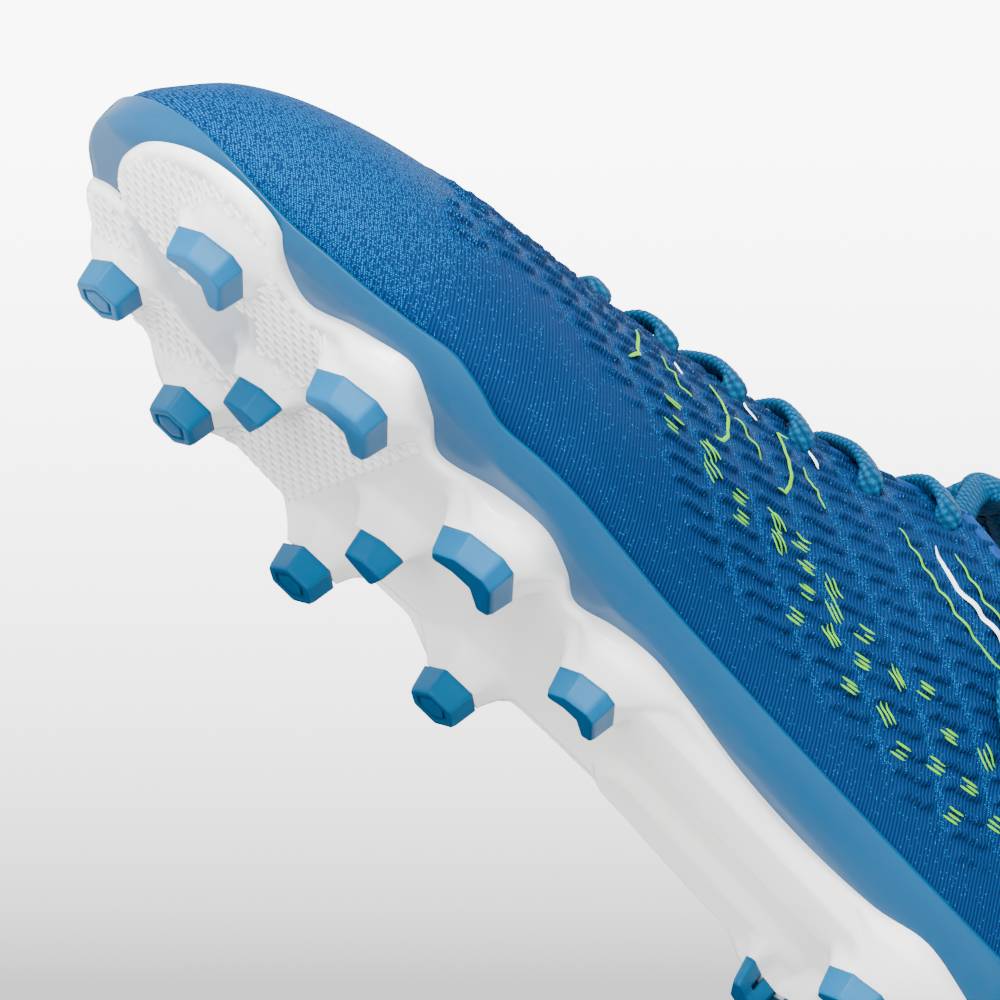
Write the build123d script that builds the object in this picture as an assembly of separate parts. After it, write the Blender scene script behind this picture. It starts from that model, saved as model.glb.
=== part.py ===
"""Left soccer cleat for firm ground: knitted upper, moulded plate, fourteen tipped studs, laced.

Frame while building: X runs from the back of the heel to the toe, +Y is the outer (lateral) side
of a left shoe, Z is up from the ground that the studs stand on.  The last step moves the origin
to the middle of the underside.
"""
from build123d import *
import math
import os

# ---- driving dimensions, millimetres ----
SHOE_LENGTH = 266.5        # back of heel to front of toe
BALL_WIDTH = 93.5          # widest, across the rand
INSTEP_HEIGHT = 78.0       # from the rand's underside to the top of the laced vamp at its back
STUD_HEIGHT = 12.0         # ground to plate underside, midfoot
TOE_SPRING = 4.0           # rise of the plate underside at its front
TOE_SPRING_START = 0.71    # share of the length where the rise begins
PLATE_THICKNESS = 1.8
RIB_HEIGHT = 2.6           # midfoot stiffening ribs under the plate
RIB_WIDTH = 11.0
GLUE_GAP = 0.25            # bond line between the plate and what it carries
TIP_HEIGHT = 5.6           # coloured stud tip
PEG_HEIGHT = 3.2           # stem core inside each tip
PEG_CLEARANCE = 0.05
BLADE_LENGTH = 16.8
POST_LENGTH = 11.4
WEDGE_LENGTH = 9.8
RAND_THICKNESS = 0.9
KNIT_THICKNESS = 1.3
STIFFENER_THICKNESS = 0.8  # heel counter, toe puff, eyestays and vamp foam share one layer
LINING_THICKNESS = 0.7
LAYER_GAP = 0.1            # bond line between layers of the upper
BOARD_THICKNESS = 1.4
SOCKLINER_FOAM = 3.0
SOCKLINER_COVER = 0.6
COLLAR_FOAM = 3.0
TONGUE_COVER = 0.8
TONGUE_FOAM = 3.0
TONGUE_HALF_WIDTH = 26.0
LACE_DIAMETER = 3.0        # the flattened braid as a round cord of the same section
LACE_CLEARANCE = 0.35
TONGUE_DROP = 3.4          # further drop of the tongue where the instep slopes
THROAT_HALF_WIDTH = 10.0   # at the front of the throat
THROAT_WIDENING = 4.0      # extra half width at the top of the throat
EYELET_RADIUS = 2.5
EYELET_SETBACK = 9.0       # throat edge to eyelet centre
AGLET_LENGTH = 20.0
AGLET_RADIUS = 1.8
KNOT_SIZE = (11.0, 13.0, 8.0)
RIDGE_SHIFT = -3.0         # the instep ridge lies towards the inner side

SOCKLINER_GAP = 0.35
FULL_INSET_ROOM = 25.0     # sections narrower or lower than this take thinner layers
MARGIN = 8.0               # width of the upper's turned-under rim
THROAT_NOSE = 6.0          # half width of the throat's rounded front
LACE_OVER = 1.2            # lace centre over the outer skin
CROSS_HIGH = 0.6           # lace centres where the two halves cross
CROSS_LOW = -3.2

# Places along the shoe, as shares of its length.
ROWS = 6
FIRST_ROW = 0.679
LAST_ROW = 0.390
THROAT_FRONT = 0.702
COLLAR_FRONT = 0.400
COLLAR_BACK = 0.25         # behind this only the collar line bounds the opening
COUNTER_END = 0.25
PUFF_START = 0.885
STAY_BACK = 0.295
COLLAR_PAD_END = 0.335
FOOTBED_ENDS = (0.012, 0.965)
SHARES = (0.0, 0.012, 0.038, 0.083, 0.13, 0.17, 0.21, 0.25, 0.295, 0.335, 0.37, 0.40, 0.445,
          0.49, 0.535, 0.58, 0.625, 0.66, 0.684, 0.702, 0.74, 0.78, 0.82, 0.855, 0.885, 0.915,
          0.942, 0.965, 0.985, 1.0)
DOME_CELLS = 5             # cells of a section from its widest level to the opening
SIDE_CELLS = 3 + DOME_CELLS
COUNTER_ROWS = 5           # cells up the side that the heel counter covers

# Ankle opening (share of length, share of instep height), rand's upper edge (share of length,
# mm over the rand's underside) and tongue outline (share of length, share of its half width).
COLLAR_LINE = ((0.0, 1.0), (0.038, 0.98), (0.083, 0.87), (0.13, 0.75), (0.17, 0.70), (0.21, 0.685),
               (0.25, 0.72), (0.295, 0.79), (0.335, 0.86), (0.37, 0.93), (0.40, 1.0), (0.41, 1.2))
RAND_LINE = ((0.0, 21.0), (0.012, 17.0), (0.038, 13.5), (0.083, 10.5), (0.15, 8.5), (0.25, 7.0),
             (0.45, 6.0), (0.65, 6.2), (0.80, 6.0), (0.90, 6.8), (0.96, 8.0), (1.0, 8.8))
TONGUE_SHAPE = ((0.335, 0.72), (0.37, 0.98), (0.58, 0.90), (0.66, 0.80), (0.74, 0.62))

# Stations of the outer skin: share of length, lateral and medial edge as shares of the ball
# width, underside above the rand's flat (mm), top as a share of the instep height, fullness.
STATIONS = (
    (0.000, 0.070, -0.070, 13.0, 0.50, 2.2),
    (0.012, 0.145, -0.145, 5.5, 0.77, 2.6),
    (0.038, 0.232, -0.232, 1.2, 1.09, 3.0),
    (0.083, 0.305, -0.295, 0.0, 1.18, 3.0),
    (0.150, 0.352, -0.330, 0.0, 1.20, 3.0),
    (0.232, 0.374, -0.337, 0.0, 1.20, 3.0),
    (0.319, 0.385, -0.327, 0.0, 1.17, 2.5),
    (0.405, 0.396, -0.326, 0.0, 1.00, 2.0),
    (0.488, 0.422, -0.353, 0.0, 0.88, 1.8),
    (0.570, 0.465, -0.406, 0.0, 0.78, 1.8),
    (0.645, 0.497, -0.460, 0.0, 0.695, 1.85),
    (0.713, 0.502, -0.492, 0.0, 0.635, 2.0),
    (0.773, 0.492, -0.497, 0.0, 0.585, 2.1),
    (0.833, 0.455, -0.476, 0.0, 0.525, 2.2),
    (0.885, 0.390, -0.428, 0.0, 0.462, 2.3),
    (0.927, 0.310, -0.364, 0.0, 0.398, 2.3),
    (0.961, 0.208, -0.289, 0.1, 0.320, 2.3),
    (0.985, 0.102, -0.203, 0.8, 0.220, 2.2),
    (1.000, 0.000, -0.118, 2.6, 0.125, 2.0),
)

# Plate edge: share of length, share of ball width, from the heel round the outer side.
PLATE_EDGE = (
    (0.030, 0.00), (0.045, 0.15), (0.090, 0.235), (0.150, 0.278), (0.215, 0.318), (0.262, 0.280),
    (0.325, 0.252), (0.390, 0.262), (0.452, 0.305), (0.495, 0.322), (0.525, 0.290), (0.552, 0.232),
    (0.578, 0.305), (0.612, 0.362), (0.650, 0.325), (0.690, 0.240), (0.722, 0.345), (0.758, 0.415),
    (0.796, 0.350), (0.824, 0.255), (0.850, 0.272), (0.886, 0.350), (0.922, 0.335), (0.952, 0.262),
    (0.971, 0.140), (0.974, 0.020), (0.962, -0.060), (0.945, -0.100), (0.962, -0.138),
    (0.969, -0.195), (0.956, -0.258), (0.926, -0.322), (0.890, -0.385), (0.830, -0.440),
    (0.765, -0.465), (0.712, -0.466), (0.645, -0.460), (0.570, -0.425), (0.498, -0.358),
    (0.420, -0.320), (0.337, -0.305), (0.262, -0.312), (0.187, -0.310), (0.127, -0.278),
    (0.075, -0.214), (0.041, -0.118),
)

# Studs: share of length, share of ball width, ground clearance of the tip (mm), outline, size.
STUDS = {
    "stud_tip_lateral_1": (0.887, 0.177, 5.2, "blade", 0.92),
    "stud_tip_lateral_2": (0.756, 0.284, 1.8, "blade", 1.0),
    "stud_tip_lateral_3": (0.619, 0.260, 0.0, "blade", 1.0),
    "stud_tip_lateral_4": (0.497, 0.200, 0.0, "blade", 0.78),
    "stud_tip_medial_1": (0.904, -0.255, 5.2, "post", 1.0),
    "stud_tip_medial_2": (0.803, -0.335, 1.8, "post", 1.0),
    "stud_tip_medial_3": (0.660, -0.400, 0.0, "post", 1.0),
    "stud_tip_medial_4": (0.533, -0.300, 0.0, "post", 1.0),
    "stud_tip_centre_1": (0.791, -0.043, 1.8, "wedge", 1.0),
    "stud_tip_centre_2": (0.655, -0.075, 0.0, "wedge", 1.0),
    "stud_tip_heel_lateral_1": (0.208, 0.170, 0.0, "blade", 0.85),
    "stud_tip_heel_lateral_2": (0.098, 0.130, 0.0, "blade", 0.80),
    "stud_tip_heel_medial_1": (0.228, -0.160, 0.0, "blade", 0.85),
    "stud_tip_heel_medial_2": (0.098, -0.130, 0.0, "blade", 0.80),
}

# Outlines of a stud's ground face, toe to the right and the shoe's edge up, as shares of its
# length, with the corner radius as a share too.
OUTLINES = {
    "blade": (((0.51, -0.16), (0.33, 0.17), (-0.02, 0.33), (-0.20, 0.27), (-0.49, -0.22),
               (-0.36, -0.33), (-0.07, -0.06), (0.20, -0.11), (0.44, -0.27)), 0.050),
    "post": (((0.47, 0.16), (0.30, -0.34), (-0.20, -0.42), (-0.49, -0.06), (-0.30, 0.38),
              (0.20, 0.44)), 0.075),
    "wedge": (((0.56, 0.14), (-0.43, 0.26), (-0.40, -0.36), (0.08, -0.27)), 0.100),
}
LENGTHS = {"blade": BLADE_LENGTH, "post": POST_LENGTH, "wedge": WEDGE_LENGTH}
FOOT_SCALE = 0.93          # ground face against the section just above it
JOINT_SCALE = 1.16         # section where tip meets stem
FLARE_SCALE = {"blade": 1.62, "post": 1.60, "wedge": 1.70}
PEG_SCALE = 0.55
EDGE_ROUND = 0.9           # height of the softened edge round the ground face


def underside(x):
    """Height of the plate's underside above the ground."""
    start = TOE_SPRING_START * SHOE_LENGTH
    reach = 0.97 * SHOE_LENGTH - start
    return STUD_HEIGHT + TOE_SPRING * (max(0.0, x - start) / reach) ** 2


def rand_floor(x):
    """Underside of the rand, on top of the plate."""
    return underside(x) + PLATE_THICKNESS + GLUE_GAP


def station_curve(column):
    """Natural cubic through one column of STATIONS, as a function of the share of length."""
    xs = [row[0] for row in STATIONS]
    ys = [row[column] for row in STATIONS]
    count = len(xs)
    steps = [xs[i + 1] - xs[i] for i in range(count - 1)]
    slopes = [(ys[i + 1] - ys[i]) / steps[i] for i in range(count - 1)]
    ends = [0.0] * count
    for i in range(1, count - 1):
        if slopes[i - 1] * slopes[i] > 0:
            w1, w2 = 2 * steps[i] + steps[i - 1], steps[i] + 2 * steps[i - 1]
            ends[i] = (w1 + w2) / (w1 / slopes[i - 1] + w2 / slopes[i])
    ends[0], ends[-1] = slopes[0], slopes[-1]

    def value(t):
        i = max(j for j in range(count - 1) if xs[j] <= max(t, 0.0))
        s = (t - xs[i]) / steps[i]
        a = (1 + 2 * s) * (1 - s) ** 2 * ys[i] + s * (1 - s) ** 2 * steps[i] * ends[i]
        return a + s * s * (3 - 2 * s) * ys[i + 1] + s * s * (s - 1) * steps[i] * ends[i + 1]

    return value


LATERAL, MEDIAL, LIFT, TOP, FULLNESS = (station_curve(column) for column in range(1, 6))


def squeezed(t, inset):
    """Inset as it is taken across the shoe: less where the section is small, at the two ends."""
    room = min((LATERAL(t) - MEDIAL(t)) * BALL_WIDTH, TOP(t) * INSTEP_HEIGHT - LIFT(t))
    return inset * min(1.0, room / FULL_INSET_ROOM)


def levels(t, x, inset):
    """Underside, widest level and ridge of the section at a share of the length."""
    inset = squeezed(t, inset)
    low = rand_floor(x) + LIFT(t) + inset
    high = rand_floor(x) + TOP(t) * INSTEP_HEIGHT - inset
    return low, low + min(9.5, 0.42 * (high - low)), high


def edges(t, inset):
    """Lateral edge, medial edge and ridge of the section, across the shoe."""
    inset = squeezed(t, inset)
    left, right = LATERAL(t) * BALL_WIDTH - inset, MEDIAL(t) * BALL_WIDTH + inset
    middle = 0.3 * (left - right)
    return left, right, min(max(RIDGE_SHIFT, right + middle), left - middle)


def skin_point(t, side, turn, inset):
    """Point of the skin: turn runs from -1 (inner rim of the underside) by 0 (where the
    underside starts to curve up) and 1 (widest level) to 2 (ridge)."""
    x = inset + (SHOE_LENGTH - 2 * inset) * t
    low, wide, high = levels(t, x, inset)
    left, right, ridge = edges(t, inset)
    edge = left if side > 0 else right
    corner = min(11.0, 0.30 * (left - right))
    if turn <= 0:
        margin = min(MARGIN, 0.12 * (left - right))
        return Vector(x, edge - side * (corner - turn * margin), low)
    if turn <= 1:
        b = math.radians(90 * turn)
        return Vector(x, edge - side * corner * (1 - math.sin(b)), wide - (wide - low) * math.cos(b))
    a = math.radians(90 * (min(turn, 2.0) - 1))
    power = 2.0 / FULLNESS(t)
    return Vector(x, ridge + (edge - ridge) * math.cos(a) ** power if turn < 2 else ridge,
                  wide + (high - wide) * math.sin(a) ** power)


def turn_at_width(t, side, reach):
    """The turn at which the outer skin is this far across from the ridge."""
    left, right, ridge = edges(t, 0)
    share = min(1.0, reach / abs((left if side > 0 else right) - ridge))
    return 1 + math.degrees(math.acos(share ** (FULLNESS(t) / 2))) / 90


def turn_at_height(t, z):
    """The turn at which the outer skin reaches this height."""
    low, wide, high = levels(t, t * SHOE_LENGTH, 0)
    if z < wide:
        return math.degrees(math.acos(min(1.0, (wide - z) / (wide - low)))) / 90
    share = min(1.0, (z - wide) / (high - wide))
    return 1 + math.degrees(math.asin(share ** (FULLNESS(t) / 2))) / 90


def skin_height(x, y, inset=0.0):
    """Height of the skin above a point of the plan, over the widest level."""
    t = x / SHOE_LENGTH
    low, wide, high = levels(t, x, inset)
    left, right, ridge = edges(t, inset)
    share = min(1.0, abs(y - ridge) / abs((left if y > ridge else right) - ridge))
    power = FULLNESS(t)
    return wide + (high - wide) * (1.0 - share ** power) ** (1.0 / power)


def skin_normal(x, y):
    """Outward direction of the skin above a point of the plan."""
    across = (skin_height(x, y + 1) - skin_height(x, y - 1)) / 2
    along = (skin_height(x + 1, y) - skin_height(x - 1, y)) / 2
    return Vector(-along, -across, 1).normalized()


def over_skin(x, y, height):
    """Point at a height over the skin (below it when negative)."""
    return Vector(x, y, skin_height(x, y)) + skin_normal(x, y) * height


def beside_skin(x, z, side, gap):
    """Point beside the skin at a height above the ground."""
    t = x / SHOE_LENGTH
    spot = skin_point(t, side, turn_at_height(t, z), 0)
    return Vector(x, spot.Y + side * gap, z)


def polyhedron(cells, outer, inner):
    """Closed solid between two copies of a net of cells, with walls along the net's rim."""
    faces, rim = [], {}

    def add(*spots):
        for i in range(1, len(spots) - 1):
            faces.append(Face(Wire.make_polygon([spots[0], spots[i], spots[i + 1]], close=True)))

    for cell in cells:
        keys = [key for i, key in enumerate(cell) if key != cell[i - 1]]
        add(*(outer[key] for key in keys))
        add(*(inner[key] for key in keys))
        for i, key in enumerate(keys):
            pair = frozenset((keys[i - 1], key))
            rim[pair] = rim.get(pair, 0) + 1
    for pair, count in rim.items():
        if count == 1:
            a, b = pair
            add(outer[a], outer[b], inner[b], inner[a])
    return Solid(Shell(faces))


def layer(rows, insets, keep, heel=(), toe=()):
    """Solid layer of the shoe between two insets.

    rows: per station, the list of (share of length, side, turn) round the section.
    keep: whether the cell (station, place in the row) is part of the layer.
    heel, toe: places in the row whose cells go on round the end of the shoe.
    """
    outer, inner, names = {}, {}, {}
    for i, row in enumerate(rows):
        for j, spot in enumerate(row):
            point = skin_point(*spot, insets[0])
            key = tuple(round(v, 4) for v in point)
            names[i, j] = key
            outer[key], inner[key] = point, skin_point(*spot, insets[1])
    cells = [(names[i, j], names[i + 1, j], names[i + 1, j + 1], names[i, j + 1])
             for i in range(len(rows) - 1) for j in range(len(rows[0]) - 1) if keep(i, j)]
    last = len(rows[0]) - 1
    for i, places in ((0, heel), (len(rows) - 1, toe)):
        for j in places:
            under = (names[i, last], names[i, 0]) if j == 1 else ()
            cells.append((names[i, j + 1], names[i, last - j - 1], names[i, last - j])
                         + under + (names[i, j],))
        if places and max(places) == SIDE_CELLS - 1 and i:
            cells.append(tuple(names[i, j] for j in range(SIDE_CELLS, last - SIDE_CELLS + 1)))
    return polyhedron(cells, outer, inner)


def between(stops, t):
    """Value at t of a line through (t, value) stops."""
    for (t0, v0), (t1, v1) in zip(stops, stops[1:]):
        if t <= t1:
            return v0 + (v1 - v0) * max(0.0, t - t0) / (t1 - t0)
    return stops[-1][1]


def opening_turn(t, side):
    """Turn of the edge of the ankle opening or of the throat; on the vamp, a line beside the ridge."""
    front = THROAT_FRONT * SHOE_LENGTH
    reach = throat_half(min(t * SHOE_LENGTH, front)) if t < THROAT_FRONT - 0.001 else THROAT_NOSE
    left, right, ridge = edges(t, 0)
    reach = min(reach, 0.5 * abs((left if side > 0 else right) - ridge))
    throat = turn_at_width(t, side, reach)
    if t > COLLAR_FRONT:
        return throat
    collar = rand_floor(0) + between(COLLAR_LINE, t) * INSTEP_HEIGHT
    found = turn_at_height(t, collar)
    return min(throat, found) if t > COLLAR_BACK else found


def upper_row(t):
    """Round the section from the inner rim of the underside, over the vamp, to the other rim."""
    sides = []
    for side in (1, -1):
        top = opening_turn(t, side)
        turns = [-1, 0, 0.5, 1] + [1 + (top - 1) * k / DOME_CELLS for k in range(1, DOME_CELLS + 1)]
        sides.append([(t, side, turn) for turn in turns])
    middle = [(t, 1, (sides[0][-1][2] + 2) / 2), (t, 1, 2.0), (t, -1, (sides[1][-1][2] + 2) / 2)]
    return sides[0] + middle + sides[1][::-1]


def strip_row(t, turns):
    """Round the section by stated turns on both sides, ending on the other side."""
    return [(t, 1, turn) for turn in turns] + [(t, -1, turn) for turn in turns[::-1]]


def plan_prism(points, low_z, high_z):
    """Upright prism from a closed polygon in the plan view."""
    spots = [Vector(x, y, low_z) for x, y in points]
    face = Face(Wire.make_polygon(spots, close=True))
    return extrude(face, amount=high_z - low_z, dir=(0, 0, 1))


def slab(low_offset, high_offset):
    """Sheet across the shoe that follows the plate's underside, in flat facets."""
    stops = [-0.02] + [s for s in SHARES if TOE_SPRING_START - 0.02 < s < 1] + [1.02]
    lower = [(s * SHOE_LENGTH, underside(s * SHOE_LENGTH) + low_offset) for s in stops]
    upper = [(s * SHOE_LENGTH, underside(s * SHOE_LENGTH) + high_offset) for s in stops[::-1]]
    spots = [Vector(x, -BALL_WIDTH, z) for x, z in lower + upper]
    return extrude(Face(Wire.make_polygon(spots, close=True)), amount=2 * BALL_WIDTH, dir=(0, 1, 0))


def throat_half(x):
    """Half width of the throat slot at a place along the shoe."""
    front, back = THROAT_FRONT * SHOE_LENGTH, COLLAR_FRONT * SHOE_LENGTH
    return THROAT_HALF_WIDTH + THROAT_WIDENING * (front - x) / (front - back)


def eyelet_spots():
    """Plan positions of the eyelets, row by row, outer side first."""
    rows = []
    for i in range(ROWS):
        x = (FIRST_ROW + (LAST_ROW - FIRST_ROW) * i / (ROWS - 1)) * SHOE_LENGTH
        reach = throat_half(x) + EYELET_SETBACK
        rows.append(((x, RIDGE_SHIFT + reach), (x, RIDGE_SHIFT - reach)))
    return rows


def eyelet_cutters():
    """Drills for the eyelets, square to the slope of the upper."""
    drills = []
    for x, y in (spot for row in eyelet_spots() for spot in row):
        plane = Plane(origin=over_skin(x, y, 0), z_dir=skin_normal(x, y))
        drills.append(plane * Cylinder(EYELET_RADIUS, 14))
    return drills


def outline_wire(kind, size, scale, centre, height, outward):
    """Rounded outline of a stud at one height."""
    corners, radius = OUTLINES[kind]
    length = LENGTHS[kind] * size * scale
    spots = [Vector(centre[0] + u * length, centre[1] + outward * v * length, height)
             for u, v in corners]
    wire = Wire(Polyline(*spots, close=True).edges())
    return wire.fillet_2d(radius * length, wire.vertices())


def stud(name):
    """Tip and stem of one stud, with the stem's core inside the tip."""
    along, across, clearance, kind, size = STUDS[name]
    centre = (along * SHOE_LENGTH, across * BALL_WIDTH)
    outward = 1.0 if across > 0 else -1.0
    joint = clearance + TIP_HEIGHT
    plate = underside(centre[0])

    def ring(scale, height):
        return outline_wire(kind, size, scale, centre, height, outward)

    tip = Solid.make_loft([ring(FOOT_SCALE, clearance), ring(1.0, clearance + EDGE_ROUND),
                           ring(JOINT_SCALE, joint)], ruled=True)
    peg = Solid.make_loft([ring(PEG_SCALE, joint - PEG_HEIGHT), ring(PEG_SCALE, joint)], ruled=True)
    grow = 1.0 + PEG_CLEARANCE / 2.0
    socket = Solid.make_loft([ring(PEG_SCALE * grow, joint - PEG_HEIGHT - PEG_CLEARANCE),
                              ring(PEG_SCALE * grow, joint)], ruled=True)
    stem = Solid.make_loft([ring(JOINT_SCALE, joint),
                            ring(FLARE_SCALE[kind], plate + 0.5 * PLATE_THICKNESS)], ruled=True)
    if kind == "post":
        tip = tip - hexagon_groove(ring, clearance)
    return tip - socket, stem, peg


def hexagon_groove(ring, clearance):
    """Shallow channel round the ground face of a post stud."""
    outer, inner = ring(0.66, clearance - 0.1), ring(0.52, clearance - 0.1)
    face = Face(outer, [inner])
    return extrude(face, amount=0.5, dir=(0, 0, 1))


def plate_outline():
    """The plate's edge as a smooth closed run through PLATE_EDGE, two chords to a span."""
    ends = [(t * SHOE_LENGTH, w * BALL_WIDTH) for t, w in PLATE_EDGE]
    count, spots = len(ends), []
    for i in range(count):
        a, b, c, d = (ends[(i + k) % count] for k in (-1, 0, 1, 2))
        spots.append(b)
        spots.append(tuple((9 * (b[k] + c[k]) - a[k] - d[k]) / 16 for k in (0, 1)))
    return spots


def plate_parts():
    """The plate with its ribs and stems, and the separate tips."""
    blank = plan_prism(plate_outline(), 0, 3 * STUD_HEIGHT + TOE_SPRING)
    pieces, tips = midfoot_ribs(), {}
    for name in STUDS:
        tip, stem, peg = stud(name)
        pieces += [stem, peg]
        tips[name] = tip
    plate = blank & slab(0.0, PLATE_THICKNESS)
    for piece in pieces:
        plate = plate + piece
    return plate, tips


def midfoot_ribs():
    """Two round-ended ribs that join the forefoot to the heel studs."""
    lines = (((0.480, 0.235), (0.225, 0.185)), ((0.425, -0.170), (0.240, -0.150)))
    ribs = []
    for (t0, w0), (t1, w1) in lines:
        a = Vector(t0 * SHOE_LENGTH, w0 * BALL_WIDTH, 0)
        b = Vector(t1 * SHOE_LENGTH, w1 * BALL_WIDTH, 0)
        middle = (a + b) * 0.5
        angle = math.degrees(math.atan2(b.Y - a.Y, b.X - a.X))
        low = underside(middle.X) - RIB_HEIGHT
        bar = SlotOverall((b - a).length + RIB_WIDTH, RIB_WIDTH)
        place = Plane(origin=(middle.X, middle.Y, low), x_dir=(math.cos(math.radians(angle)),
                      math.sin(math.radians(angle)), 0), z_dir=(0, 0, 1))
        ribs.append(extrude(place * bar, amount=RIB_HEIGHT + 0.5 * PLATE_THICKNESS))
    return ribs


KNIT = RAND_THICKNESS + LAYER_GAP
STIFFENER = KNIT + KNIT_THICKNESS + LAYER_GAP
LINING = STIFFENER + STIFFENER_THICKNESS + LAYER_GAP
INSIDE = LINING + LINING_THICKNESS
BOARD = INSIDE + LAYER_GAP
SOCK = BOARD + BOARD_THICKNESS + SOCKLINER_GAP
TONGUE = INSIDE + LACE_DIAMETER + 2 * LACE_CLEARANCE + TONGUE_DROP


def upper_parts():
    """The layers of the upper, outside to inside."""
    rows = [upper_row(t) for t in SHARES]
    front = SHARES.index(THROAT_FRONT)
    last_cell = len(rows[0]) - 2
    sides = range(1, SIDE_CELLS)

    def whole(i, j):
        return i >= front or j < SIDE_CELLS or j > last_cell - SIDE_CELLS

    def depth(j):
        return min(j, last_cell - j)

    def in_counter(i, j):
        return SHARES[i + 1] <= COUNTER_END and depth(j) < COUNTER_ROWS

    def in_puff(i, j):
        return SHARES[i] >= PUFF_START

    def in_stay(i, j):
        return STAY_BACK <= SHARES[i] and i < front and SIDE_CELLS - 2 <= depth(j) < SIDE_CELLS

    def in_foam(i, j):
        return whole(i, j) and not (in_counter(i, j) or in_puff(i, j) or in_stay(i, j))

    drills = eyelet_cutters()
    stiff = (STIFFENER, STIFFENER + STIFFENER_THICKNESS)
    middle = len(rows[0]) // 2
    return {
        "knit_upper": layer(rows, (KNIT, KNIT + KNIT_THICKNESS), whole, sides, sides) - drills,
        "upper_lining": layer(rows, (LINING, INSIDE), whole, sides, sides) - drills,
        "heel_counter": layer(rows, stiff, in_counter, range(1, COUNTER_ROWS)),
        "toe_puff": layer(rows, stiff, in_puff, (), sides),
        "eyestay_lateral": layer(rows, stiff, lambda i, j: in_stay(i, j) and j < middle) - drills,
        "eyestay_medial": layer(rows, stiff, lambda i, j: in_stay(i, j) and j >= middle) - drills,
        "vamp_foam": layer(rows, stiff, in_foam, range(COUNTER_ROWS, SIDE_CELLS)) - drills,
    }


def rand_part():
    """Glossy band that wraps the lower edge of the upper all round."""
    def row(t):
        top = turn_at_height(t, rand_floor(t * SHOE_LENGTH) + between(RAND_LINE, t))
        return strip_row(t, [-1, 0, 0.45 * top, 0.75 * top, top])

    rows = [row(t) for t in SHARES]
    gap = len(rows[0]) // 2 - 1
    return layer(rows, (0.0, RAND_THICKNESS), lambda i, j: j != gap, range(1, gap), range(1, gap))


def footbed_parts():
    """Insole board, and the sockliner's foam and cover, dished like the underside."""
    stations = [t for t in SHARES if FOOTBED_ENDS[0] <= t <= FOOTBED_ENDS[1]]
    rows = [strip_row(t, [0.5, 0]) for t in stations]
    top = SOCK + SOCKLINER_FOAM

    def everywhere(i, j):
        return True

    return {
        "insole_board": layer(rows, (BOARD, BOARD + BOARD_THICKNESS), everywhere),
        "sockliner_foam": layer(rows, (SOCK, top), everywhere),
        "sockliner_cover": layer(rows, (top, top + SOCKLINER_COVER), everywhere),
    }


def collar_parts():
    """Foam and lining that pad the ankle opening."""
    rows = [upper_row(t) for t in SHARES if t <= COLLAR_PAD_END]
    last_cell = len(rows[0]) - 2

    def padded(i, j):
        return COUNTER_ROWS <= min(j, last_cell - j) < SIDE_CELLS

    ends = range(COUNTER_ROWS, SIDE_CELLS)
    foam = INSIDE + LAYER_GAP
    lining = foam + COLLAR_FOAM + LAYER_GAP
    return {"collar_foam": layer(rows, (foam, foam + COLLAR_FOAM), padded, ends),
            "collar_lining": layer(rows, (lining, lining + LINING_THICKNESS), padded, ends)}


def tongue_parts():
    """Tongue: outer cover, foam and lining, one on another, clear of the upper and the lace."""
    def row(t):
        reach = TONGUE_HALF_WIDTH * between(TONGUE_SHAPE, t)
        spots = [(t, 1, turn_at_width(t, 1, reach * k / 4)) for k in (4, 3, 2, 1)]
        return spots + [(t, 1, 2.0)] + [(t, -1, turn_at_width(t, -1, reach * k / 4)) for k in (1, 2, 3, 4)]

    rows = [row(t) for t in SHARES if TONGUE_SHAPE[0][0] <= t <= TONGUE_SHAPE[-1][0]]
    layers, depth = {}, TONGUE
    for name, thickness in (("tongue_cover", TONGUE_COVER), ("tongue_foam", TONGUE_FOAM),
                            ("tongue_lining", LINING_THICKNESS)):
        layers[name] = layer(rows, (depth, depth + thickness), lambda i, j: True)
        depth += thickness + LAYER_GAP
    return layers


def cord(points, radius, shortest_radius):
    """Round cord along straight runs joined by tangent arcs."""
    radii = []
    for a, b, c in zip(points, points[1:], points[2:]):
        turn = math.radians((b - a).get_angle(c - b))
        radii.append(0.45 * min((b - a).length, (c - b).length) / math.tan(turn / 2))
    print("tightest bend", round(min(radii), 1), "wanted", shortest_radius)
    path = FilletPolyline(*points, radius=radii)
    start = Plane(origin=points[0], z_dir=points[1] - points[0])
    return sweep(start * Circle(radius), path=path)


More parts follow.
